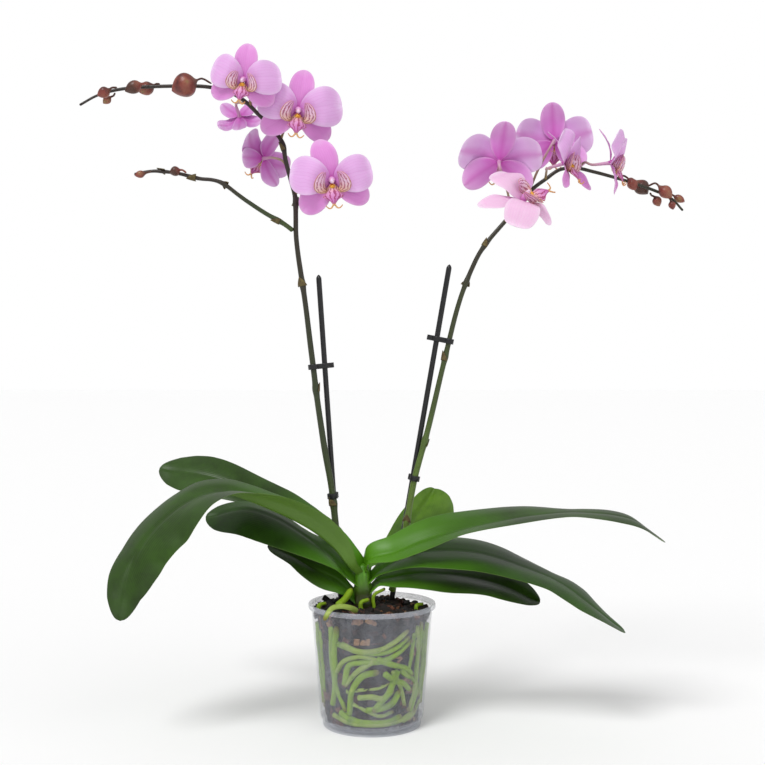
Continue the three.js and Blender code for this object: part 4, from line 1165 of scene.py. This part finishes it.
def potSkin():
    # thin clear polypropylene, blown to shape: slightly hazy and scuffed, thicker to the eye at a
    # slant, with dried water marks 5 to 20 mm across inside
    skin, tree, shader = newMaterial("clearPotPlastic", Base_Color=hexColour(potLook["haze"]),
                                     Roughness=0.12, IOR=1.49,
                                     Specular_IOR_Level=0.9)
    spot = addNode(tree, "ShaderNodeTexCoord")
    stretch = addNode(tree, "ShaderNodeMapping", {"Scale": (60.0, 60.0, 26.0)},
                      {"Vector": spot.outputs["Object"]})
    marks = addNode(tree, "ShaderNodeTexNoise", {"Scale": 1.0, "Detail": 6.0, "Roughness": 0.66},
                    {"Vector": stretch.outputs[0]})
    haze = addNode(tree, "ShaderNodeMapRange",
                   {"From Min": 0.42, "From Max": 0.74, "To Min": potLook["clear"],
                    "To Max": potLook["cloudy"]},
                   {"Value": marks.outputs["Fac"]})
    slant = addNode(tree, "ShaderNodeLayerWeight", {"Blend": 0.28})
    sheen = addNode(tree, "ShaderNodeMath", {"operation": "MULTIPLY_ADD", 1: potLook["edge"],
                                             "use_clamp": True},
                    {0: slant.outputs["Facing"], 2: haze.outputs[0]})
    # the rolled rim and the stepped foot are thicker, so they show whiter
    height = addNode(tree, "ShaderNodeSeparateXYZ", links={0: spot.outputs["Object"]})
    rimBand = addNode(tree, "ShaderNodeMapRange",
                      {"From Min": (potTop - potLook["lip"] - 0.5) * mm,
                       "From Max": (potTop - potLook["lip"]) * mm,
                                                   "To Min": 0.0, "To Max": potLook["thick"]},
                                                   {"Value": height.outputs["Z"]})
    footBand = addNode(tree, "ShaderNodeMapRange",
                       {"From Min": 8.2 * mm, "From Max": 9.2 * mm, "To Min": potLook["thick"],
                        "To Max": 0.0},
                       {"Value": height.outputs["Z"]})
    bands = addNode(tree, "ShaderNodeMath", {"operation": "ADD"},
                    {0: rimBand.outputs[0], 1: footBand.outputs[0]})
    whole = addNode(tree, "ShaderNodeMath", {"operation": "ADD", "use_clamp": True},
                    {0: sheen.outputs[0], 1: bands.outputs[0]})
    tree.links.new(whole.outputs[0], shader.inputs["Alpha"])
    rub = addNode(tree, "ShaderNodeMapRange", {"To Min": 0.08, "To Max": 0.26},
                  {"Value": marks.outputs["Fac"]})
    tree.links.new(rub.outputs[0], shader.inputs["Roughness"])
    ribs = addNode(tree, "ShaderNodeTexNoise", {"Scale": 120.0, "Detail": 1.0},
                   {"Vector": spot.outputs["Object"]})
    bump = addNode(tree, "ShaderNodeBump", {"Strength": 0.12, "Distance": 0.0006},
                   {"Height": ribs.outputs["Fac"]})
    tree.links.new(bump.outputs["Normal"], shader.inputs["Normal"])
    return skin


def latheSolid(name, profile, skin, sides):
    # turns a closed profile of (radius, height) in mm round the pot's axis
    points, faces, rows = [], [], len(profile)
    for r, z in profile:
        for k in range(sides):
            a = 2 * math.pi * k / sides
            points.append((r * mm * math.cos(a), r * mm * math.sin(a), z * mm))
    for row in range(rows):
        after = (row + 1) % rows
        for k in range(sides):
            n = (k + 1) % sides
            faces.append((row * sides + k, row * sides + n, after * sides + n, after * sides + k))
    return tidyMesh(meshObject(name, points, faces, skin))


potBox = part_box("pot")
potTop = potBox[1].z / mm
rimOut = potBox[1].x / mm
wallSlope = (potLook["wallTop"] - potLook["wallFoot"]) / (potTop - potLook["lip"] - potLook["footHeight"])


def wallRadius(z):
    # outer radius of the wall at a height, both in mm
    return potLook["wallFoot"] + wallSlope * (z - potLook["footHeight"])


def makePot():
    lipFoot, t = potTop - potLook["lip"], potLook["wall"]
    outer = [(potLook["foot"] - 0.3, 0.0), (potLook["foot"], 0.4),
             (potLook["foot"] + 0.7, potLook["footHeight"] - 0.9),
             (potLook["foot"] + 1.3, potLook["footHeight"] - 0.2),
             (potLook["wallFoot"] - 0.35, potLook["footHeight"] + 0.1),
             (potLook["wallFoot"], potLook["footHeight"] + 0.8)]
    outer += [(wallRadius(z), z) for z in np.linspace(potLook["footHeight"] + 3, lipFoot - 0.7, 26)]
    outer += [(wallRadius(lipFoot), lipFoot - 0.1), (rimOut - 0.9, lipFoot + 0.15),
              (rimOut - 0.25, lipFoot + 0.5),
              (rimOut, lipFoot + 1.2), (rimOut, potTop - 1.0), (rimOut - 0.35, potTop - 0.25),
              (rimOut - 1.1, potTop)]
    inner = [(rimOut - 2.2, potTop - 0.1), (rimOut - 2.9, potTop - 0.7), (rimOut - 3.3, potTop - 1.8),
             (wallRadius(lipFoot) - t, lipFoot - 0.4)]
    inner += [(wallRadius(z) - t, z) for z in np.linspace(lipFoot - 3, potLook["footHeight"] + 2, 22)]
    inner += [(potLook["foot"] + 0.2, potLook["footHeight"]),
              (potLook["foot"] - 0.9, potLook["footHeight"] - 1.5),
              (potLook["foot"] - 1.4, potLook["lift"] + 1.6),
              (potLook["foot"] - 2.4, potLook["lift"] + t),
              (0.0, potLook["lift"] + t), (0.0, potLook["lift"]),
              (potLook["foot"] - 2.2, potLook["lift"]),
              (potLook["foot"] - 1.3, 0.5), (potLook["foot"] - 0.9, 0.0)]
    pot = latheSolid("pot-wall", outer + inner, potSkin(), potLook["sides"])
    drills = []
    for k in range(potLook["holes"]):
        bpy.ops.mesh.primitive_cylinder_add(vertices=28, radius=potLook["holeRadius"] * mm, depth=0.004)
        drill = bpy.context.object
        a = 2 * math.pi * (k + 0.5) / potLook["holes"]
        drill.location = (potLook["holeRing"] * mm * math.cos(a), potLook["holeRing"] * mm * math.sin(a),
                          potLook["lift"] * mm)
        drills.append(drill)
    for drill in drills:
        cut = pot.modifiers.new("hole", "BOOLEAN")
        cut.operation, cut.object, cut.solver = "DIFFERENCE", drill, "EXACT"
    bpy.context.view_layer.update()
    mesh = bpy.data.meshes.new_from_object(pot.evaluated_get(bpy.context.evaluated_depsgraph_get()))
    pot.modifiers.clear()
    pot.data = mesh
    for drill in drills:
        bpy.data.objects.remove(drill)
    soften = pot.modifiers.new("smooth", "WEIGHTED_NORMAL")
    soften.keep_sharp = True
    return place(pot, "clear_pot", "pot")


makePot()
print("pot made")


# ---- bark

barkLook = {
    "seed": 4, "chipLength": 13.0, "chipWidth": 8.5, "chipDepth": 4.5, "wallDensity": 30000.0,
    "topDensity": 62000.0,
    "innerGap": 6.7, "uneven": 0.0032,
}


def barkSkin():
    # composted pine bark: matt, damp and almost black, here and there red-brown or tan where a
    # chip has split; fibres run 0.5 mm apart
    skin, tree, shader = newMaterial("pineBark", Roughness=0.85, IOR=1.45)
    spot = addNode(tree, "ShaderNodeTexCoord")
    tone = addNode(tree, "ShaderNodeAttribute", {"attribute_name": "tone"})
    grain = addNode(tree, "ShaderNodeTexNoise", {"Scale": 260.0, "Detail": 5.0, "Roughness": 0.7},
                    {"Vector": spot.outputs["Object"]})
    spread = addNode(tree, "ShaderNodeMath", {"operation": "MULTIPLY_ADD", 1: 0.36},
                     {0: grain.outputs["Fac"], 2: tone.outputs["Fac"]})
    level = addNode(tree, "ShaderNodeMath", {"operation": "SUBTRACT", 1: 0.18}, {0: spread.outputs[0]})
    colour = addNode(tree, "ShaderNodeValToRGB",
                     {"stops": [(0.0, "#0B0807"), (0.50, "#1D1512"), (0.78, "#33211B"), (0.92, "#5F3422"),
                                (1.0, "#937252")]},
                     {"Fac": level.outputs[0]})
    tree.links.new(colour.outputs["Color"], shader.inputs["Base Color"])
    damp = addNode(tree, "ShaderNodeMapRange", {"To Min": 0.55, "To Max": 0.95},
                   {"Value": grain.outputs["Fac"]})
    tree.links.new(damp.outputs[0], shader.inputs["Roughness"])
    bump = addNode(tree, "ShaderNodeBump", {"Strength": 0.8, "Distance": 0.0007},
                   {"Height": grain.outputs["Fac"]})
    tree.links.new(bump.outputs["Normal"], shader.inputs["Normal"])
    return skin


def chipTree():
    # bark chips lying on a surface: cubes cut in four each way, scaled, turned and knocked out of true
    tree = bpy.data.node_groups.new("barkChips", "GeometryNodeTree")
    for label, kind, start in (("Bed", "NodeSocketGeometry", None),
                               ("Density", "NodeSocketFloat", 30000.0),
                               ("Length", "NodeSocketFloat", 0.012), ("Width", "NodeSocketFloat", 0.008),
                               ("Depth", "NodeSocketFloat", 0.004), ("Uneven", "NodeSocketFloat", 0.004),
                               ("Tilt", "NodeSocketFloat", 0.5), ("Seed", "NodeSocketInt", 4),
                               ("Skin", "NodeSocketMaterial", None)):
        socket = tree.interface.new_socket(label, in_out="INPUT", socket_type=kind)
        if start is not None:
            socket.default_value = start
    tree.interface.new_socket("Geometry", in_out="OUTPUT", socket_type="NodeSocketGeometry")
    given = addNode(tree, "NodeGroupInput")
    spots = addNode(tree, "GeometryNodeDistributePointsOnFaces", {"distribute_method": "RANDOM"},
                    {"Mesh": given.outputs["Bed"], "Density": given.outputs["Density"],
                     "Seed": given.outputs["Seed"]})
    sizes = addNode(tree, "ShaderNodeCombineXYZ",
                    links={"X": given.outputs["Length"], "Y": given.outputs["Width"],
                           "Z": given.outputs["Depth"]})
    cube = addNode(tree, "GeometryNodeMeshCube", {"Vertices X": 4, "Vertices Y": 3, "Vertices Z": 3},
                   {"Size": sizes.outputs[0]})
    spin = addNode(tree, "FunctionNodeRandomValue", {"data_type": "FLOAT_VECTOR"},
                   {"Seed": given.outputs["Seed"]})
    spin.inputs[1].default_value = (1, 1, 6.3)
    spin.inputs[0].default_value = (-1, -1, 0)
    lean = addNode(tree, "ShaderNodeCombineXYZ", {"Z": 1.0},
                   {"X": given.outputs["Tilt"], "Y": given.outputs["Tilt"]})
    turned = addNode(tree, "ShaderNodeVectorMath", {"operation": "MULTIPLY"},
                     {0: spin.outputs[0], 1: lean.outputs[0]})
    both = addNode(tree, "FunctionNodeRotateRotation", {"rotation_space": "LOCAL"},
                   {0: spots.outputs["Rotation"], 1: turned.outputs[0]})
    grow = addNode(tree, "FunctionNodeRandomValue", {"data_type": "FLOAT_VECTOR"},
                   {"Seed": given.outputs["Seed"]})
    grow.inputs[0].default_value, grow.inputs[1].default_value = (0.45, 0.5, 0.6), (1.25, 1.2, 1.3)
    chips = addNode(tree, "GeometryNodeInstanceOnPoints", links={
        "Points": spots.outputs["Points"], "Instance": cube.outputs["Mesh"], "Rotation": both.outputs[0],
        "Scale": grow.outputs[0]})
    shade = addNode(tree, "FunctionNodeRandomValue", {"data_type": "FLOAT", 2: 0.0, 3: 1.0},
                    {"Seed": given.outputs["Seed"]})
    darker = addNode(tree, "ShaderNodeMath", {"operation": "POWER", 1: 1.5}, {0: shade.outputs[1]})
    toned = addNode(tree, "GeometryNodeStoreNamedAttribute",
                    {"data_type": "FLOAT", "domain": "INSTANCE", "Name": "tone"},
                    {"Geometry": chips.outputs[0], "Value": darker.outputs[0]})
    real = addNode(tree, "GeometryNodeRealizeInstances", links={0: toned.outputs[0]})
    here = addNode(tree, "GeometryNodeInputPosition")
    knock = addNode(tree, "ShaderNodeTexNoise", {"Scale": 170.0, "Detail": 2.0},
                    {"Vector": here.outputs[0]})
    around = addNode(tree, "ShaderNodeVectorMath", {"operation": "SUBTRACT"}, {0: knock.outputs["Color"]})
    around.inputs[1].default_value = (0.5, 0.5, 0.5)
    push = addNode(tree, "ShaderNodeVectorMath", {"operation": "SCALE"},
                   {0: around.outputs[0], "Scale": given.outputs["Uneven"]})
    moved = addNode(tree, "GeometryNodeSetPosition",
                    links={"Geometry": real.outputs[0], "Offset": push.outputs[0]})
    flat = addNode(tree, "GeometryNodeSetShadeSmooth", {"Shade Smooth": False}, {0: moved.outputs[0]})
    coated = addNode(tree, "GeometryNodeSetMaterial",
                     links={"Geometry": flat.outputs[0], "Material": given.outputs["Skin"]})
    addNode(tree, "NodeGroupOutput", links={0: coated.outputs[0]})
    return tree


def bedMesh(name, profile, sides=96, bumps=0.0, seed=0):
    points, faces = [], []
    for row, (r, z) in enumerate(profile):
        for k in range(sides):
            a = 2 * math.pi * k / sides
            lift = bumps * (math.sin(3 * a + seed) + 0.7 * math.cos(5 * a + row)) * min(r / 20, 1)
            points.append((r * mm * math.cos(a), r * mm * math.sin(a), (z + lift) * mm))
    for row in range(len(profile) - 1):
        for k in range(sides):
            n = (k + 1) % sides
            faces.append((row * sides + k, row * sides + n, (row + 1) * sides + n, (row + 1) * sides + k))
    mesh = bpy.data.meshes.new(name)
    mesh.from_pydata(points, [], faces)
    bed = bpy.data.objects.new(name, mesh)
    bpy.context.scene.collection.objects.link(bed)
    return bed


def topHeight(x, y):
    # the mix is heaped a little towards the back left, in mm
    return potTop - 9 + 5.5 * math.exp(-((x + 22) ** 2 + (y - 22) ** 2) / 900) + 1.2 * math.sin(x
            * 0.16) * math.cos(y * 0.13)


def makeBark():
    skin, tree = barkSkin(), chipTree()
    gap = barkLook["innerGap"]
    core = [(0.01, 5.0)] + [(wallRadius(z) - gap - 1.5, z) for z in np.linspace(5.5, potTop - 12, 30)]
    core += [(r, potTop - 11.5) for r in np.linspace(wallRadius(potTop - 12) - gap - 3, 0.01, 14)]
    body = latheSolid("bark-core", core, skin, 96)
    for vertex in body.data.vertices:
        x, y, z = vertex.co / mm
        if z > potTop - 14:
            vertex.co.z = (topHeight(x, y) - 2.5) * mm
    place(body, "bark", "bark_mix")
    sizes = {"Length": barkLook["chipLength"] * mm, "Width": barkLook["chipWidth"] * mm,
             "Depth": barkLook["chipDepth"] * mm,
             "Uneven": barkLook["uneven"], "Skin": skin}
    ring = bedMesh("ringBed", [(wallRadius(z) - gap, z) for z in np.linspace(7, potTop - 13, 20)])
    wallChips = runTree("bark-wall-chips", ring, tree,
                        dict(sizes, Depth=2.6 * mm, Density=barkLook["wallDensity"], Tilt=0.12,
                             Seed=barkLook["seed"]))
    edge = wallRadius(potTop - 9) - 6.5
    top = bedMesh("topBed", [(r, 0) for r in np.linspace(0.5, edge, 16)])
    for vertex in top.data.vertices:
        vertex.co.z = topHeight(vertex.co.x / mm, vertex.co.y / mm) * mm
    top.data.flip_normals()
    topChips = runTree("bark-top-chips", top, tree,
                       dict(sizes, Density=barkLook["topDensity"], Tilt=0.6, Seed=barkLook["seed"] + 1))
    for chips in (wallChips, topChips):
        # every chip stops at the wall
        places = np.empty(len(chips.data.vertices) * 3)
        chips.data.vertices.foreach_get("co", places)
        places = places.reshape(-1, 3)
        limit = (wallRadius(places[:, 2] / mm) - potLook["wall"] - 0.5) * mm
        radius = np.linalg.norm(places[:, :2], axis=1)
        places[:, :2] *= np.minimum(1, limit / np.maximum(radius, 1e-9))[:, None]
        places[:, 2] = np.maximum(places[:, 2], 0.0042)
        chips.data.vertices.foreach_set("co", places.ravel())
        place(chips, "bark")
        print(chips.name, len(chips.data.polygons), "faces")


makeBark()


# ---- roots

rootLook = {"sides": 22, "step": 0.0022, "rough": 0.13}


def rootSkin(name, pale, green, deep):
    # orchid root: spongy velamen, silvery where dry and olive green where it has taken water
    skin, tree, shader = newMaterial(name, Roughness=0.6, IOR=1.4, Subsurface_Weight=0.05,
                                     Subsurface_Scale=0.002)
    spot = addNode(tree, "ShaderNodeTexCoord")
    run = addNode(tree, "ShaderNodeSeparateXYZ", links={0: spot.outputs["UV"]})
    cloud = addNode(tree, "ShaderNodeTexNoise", {"Scale": 75.0, "Detail": 5.0, "Roughness": 0.65},
                    {"Vector": spot.outputs["Object"]})
    colour = addNode(tree, "ShaderNodeValToRGB",
                     {"stops": [(0.30, deep), (0.47, green), (0.62, green), (0.76, pale)]},
                     {"Fac": cloud.outputs["Fac"]})
    tip = addNode(tree, "ShaderNodeMapRange",
                  {"From Min": 0.90, "From Max": 1.0, "To Min": 0.0, "To Max": 0.7},
                  {"Value": run.outputs["X"]})
    tipped = addNode(tree, "ShaderNodeMix", {"data_type": "RGBA", 7: hexColour("#6B4A24")},
                     {0: tip.outputs[0], 6: colour.outputs["Color"]})
    tree.links.new(tipped.outputs[2], shader.inputs["Base Color"])
    pores = addNode(tree, "ShaderNodeTexNoise", {"Scale": 620.0, "Detail": 4.0},
                    {"Vector": spot.outputs["Object"]})
    bump = addNode(tree, "ShaderNodeBump", {"Strength": 0.45, "Distance": 0.0004},
                   {"Height": pores.outputs["Fac"]})
    tree.links.new(bump.outputs["Normal"], shader.inputs["Normal"])
    return skin


def makeRoot(node, skin, seed):
    places, near = solidGraph(node)
    end = next(v for v in range(len(near)) if len(near[v]) == 6 and all(
        len(layer) == 6 for layer in layersFrom(v, near)[1:-1]) and len(layersFrom(v, near)[-1]) == 1)
    middles, radii, start, tip = lineOf(node, 6, places[end])
    middles = np.concatenate([[start], middles, [tip]])
    radii = np.concatenate([[radii[0]], radii, [radii[-1] * 0.7]])
    path, radius, even = smoothLine(middles, radii, rootLook["step"])
    return place(tubeSolid(node.replace("_", "-"), path, radius * 1.05, skin, rootLook["sides"],
                           rootLook["rough"], seed), "root", node)


rootGreen = rootSkin("rootVelamenGreen", "#A9B94A", "#7B9C12", "#58760A")
rootPale = rootSkin("rootVelamenPale", "#BAC47E", "#8A9F46", "#65802A")

# finer roots that fill the gap between the main ones: (angle round the pot, height in mm)
fineRoots = {
    "right-edge": {"radius": 2.5, "depth": 4.6, "course": [(-40, 92), (-42, 72), (-46, 52)]},
    "middle-cross": {"radius": 2.1, "depth": 5.2,
                     "course": [(-120, 40), (-100, 43), (-82, 45), (-70, 49)]},
    "left-edge": {"radius": 2.3, "depth": 4.2, "course": [(-158, 92), (-161, 62), (-160, 34)]},
    "low-cross": {"radius": 2.2, "depth": 5.0, "course": [(-112, 29), (-96, 24), (-80, 19), (-64, 22)]},
    "lower-right": {"radius": 2.5, "depth": 4.4, "course": [(-56, 60), (-48, 54), (-38, 50), (-28, 40)]},
    "foot-right": {"radius": 2.4, "depth": 4.2, "course": [(-50, 12), (-34, 15), (-18, 24), (-6, 40)]},
    "upper-cross": {"radius": 2.6, "depth": 4.2,
                    "course": [(-128, 84), (-104, 79), (-84, 77), (-62, 82), (-48, 90)]},
    "middle-left": {"radius": 2.3, "depth": 3.2,
                    "course": [(-131, 58), (-122, 68), (-104, 74), (-80, 71)]},
    "star-right": {"radius": 2.9, "depth": 3.4, "course": [(-84, 72), (-66, 66), (-48, 60), (-40, 54)]},
    "star-left": {"radius": 2.8, "depth": 3.6, "course": [(-88, 70), (-106, 60), (-120, 46)]},
    "slant-inner": {"radius": 3.2, "depth": 3.2, "course": [(-62, 60), (-70, 42), (-88, 24)]},
    "slant-outer": {"radius": 2.4, "depth": 4.2, "course": [(-66, 60), (-56, 44), (-48, 26)]},
    "left-tall": {"radius": 2.9, "depth": 4.4,
                  "course": [(-136, 98), (-139, 70), (-134, 44), (-122, 22)]},
    "right-tall": {"radius": 2.6, "depth": 4.2, "course": [(-36, 98), (-30, 70), (-33, 40), (-42, 20)]},
    "far-right": {"radius": 2.3, "depth": 4.0, "course": [(-22, 92), (-17, 60), (-22, 30)]},
    "foot-ring": {"radius": 2.5, "depth": 2.9,
                  "course": [(-140, 16), (-115, 12), (-85, 11), (-55, 13), (-30, 19)]},
    "side-left": {"radius": 3.0, "depth": 3.7, "course": [(-167, 97), (-172, 60), (-169, 22)]},
    "side-left-back": {"radius": 3.1, "depth": 3.8, "course": [(176, 95), (170, 55), (176, 20)]},
    "side-right": {"radius": 2.9, "depth": 3.7, "course": [(-11, 97), (-6, 60), (-11, 22)]},
    "side-right-back": {"radius": 3.1, "depth": 3.8, "course": [(5, 94), (10, 55), (4, 22)]},
    "back-left": {"radius": 2.5, "depth": 4.0, "course": [(150, 88), (128, 76), (112, 84), (90, 74)]},
    "back-right": {"radius": 2.6, "depth": 4.0, "course": [(58, 94), (48, 66), (58, 34), (84, 20)]},
    "back-foot": {"radius": 2.4, "depth": 4.2, "course": [(98, 30), (126, 20), (158, 14), (186, 18)]},
}
for order, node in enumerate(sorted(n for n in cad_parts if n.startswith("root_"))):
    makeRoot(node, rootPale if order % 4 == 2 else rootGreen, order)
for order, (title, plan) in enumerate(fineRoots.items()):
    points = []
    for angle, height in plan["course"]:
        r, a = wallRadius(height) - potLook["wall"] - plan["depth"], math.radians(angle)
        points.append([r * mm * math.cos(a), r * mm * math.sin(a), height * mm])
    line = resample(points, 46)
    radii = plan["radius"] * mm * np.linspace(1, 0.78, 46)
    place(tubeSolid("fine-root-" + title, line, radii, rootPale if order % 2 else rootGreen, 18,
                    rootLook["rough"], order + 40), "root")
# green stubs and tips that show between the chips on top: foot, tip and thickness in mm
topRoots = {"left": [(-50, -6, 106), (-44, -2, 114), 2.2],
            "crown-front": [(-10, -12, 108), (-3, -9, 119), 2.3],
            "crown-side": [(2, -4, 110), (12, -2, 128), 1.9],
            "right": [(42, -10, 106), (48, -4, 114), 2.0]}
for order, (title, (low, high, radius)) in enumerate(topRoots.items()):
    line = resample(np.array([low, (low[0], low[1], (low[2] + high[2]) / 2 + 3), high], float) * mm, 18)
    place(tubeSolid("top-root-" + title, line, radius * mm * np.linspace(1, 0.75, 18), rootGreen, 18,
                    rootLook["rough"], order + 70), "root")
print("roots made")


# ---- crown

crownLook = {"sides": 48, "pale": "#5E9A1E", "green": "#3F7410", "foot": "#2E2C12"}


def makeCrown():
    # short stem wrapped in old leaf sheaths: smooth, bright green, browner at its foot
    skin, tree, shader = newMaterial("leafSheath", Roughness=0.38, IOR=1.42, Coat_Weight=0.1,
                                     Coat_Roughness=0.25)
    spot = addNode(tree, "ShaderNodeTexCoord")
    run = addNode(tree, "ShaderNodeSeparateXYZ", links={0: spot.outputs["UV"]})
    streak = addNode(tree, "ShaderNodeMapping", {"Scale": (420.0, 420.0, 40.0)},
                     {"Vector": spot.outputs["Object"]})
    fibre = addNode(tree, "ShaderNodeTexNoise", {"Scale": 1.0, "Detail": 4.0},
                    {"Vector": streak.outputs[0]})
    tone = addNode(tree, "ShaderNodeValToRGB",
                   {"stops": [(0.35, crownLook["green"]), (0.68, crownLook["pale"])]},
                   {"Fac": fibre.outputs["Fac"]})
    foot = addNode(tree, "ShaderNodeMapRange",
                   {"From Min": 0.45, "From Max": 0.86, "To Min": 0.92, "To Max": 0.0},
                   {"Value": run.outputs["X"]})
    footed = addNode(tree, "ShaderNodeMix", {"data_type": "RGBA", 7: hexColour(crownLook["foot"])},
                     {0: foot.outputs[0], 6: tone.outputs["Color"]})
    tree.links.new(footed.outputs[2], shader.inputs["Base Color"])
    bump = addNode(tree, "ShaderNodeBump", {"Strength": 0.4, "Distance": 0.0004},
                   {"Height": fibre.outputs["Fac"]})
    tree.links.new(bump.outputs["Normal"], shader.inputs["Normal"])
    middles, radii, start, end = lineOf("crown_stem", 10, (-0.007, 0.003, 0.1))
    path = resample(middles, 60)
    even = np.linspace(0, 1, 60)
    radius = np.interp(even, np.linspace(0, 1, len(radii)), radii)
    # each sheath ends in a low step, and the top closes to a point between the leaves
    steps = 1 + 0.05 * np.cos(even * math.pi * 7)
    close = np.sqrt(np.clip(1 - np.clip((even - 0.62) / 0.40, 0, 1) ** 2, 0, 1))
    crown = tubeSolid("crown-stem", path, radius * steps * (0.35 + 0.65 * close), skin,
                      crownLook["sides"], 0.03, 5)
    return place(crown, "stem_green", "crown_stem")


makeCrown()
print("crown made")
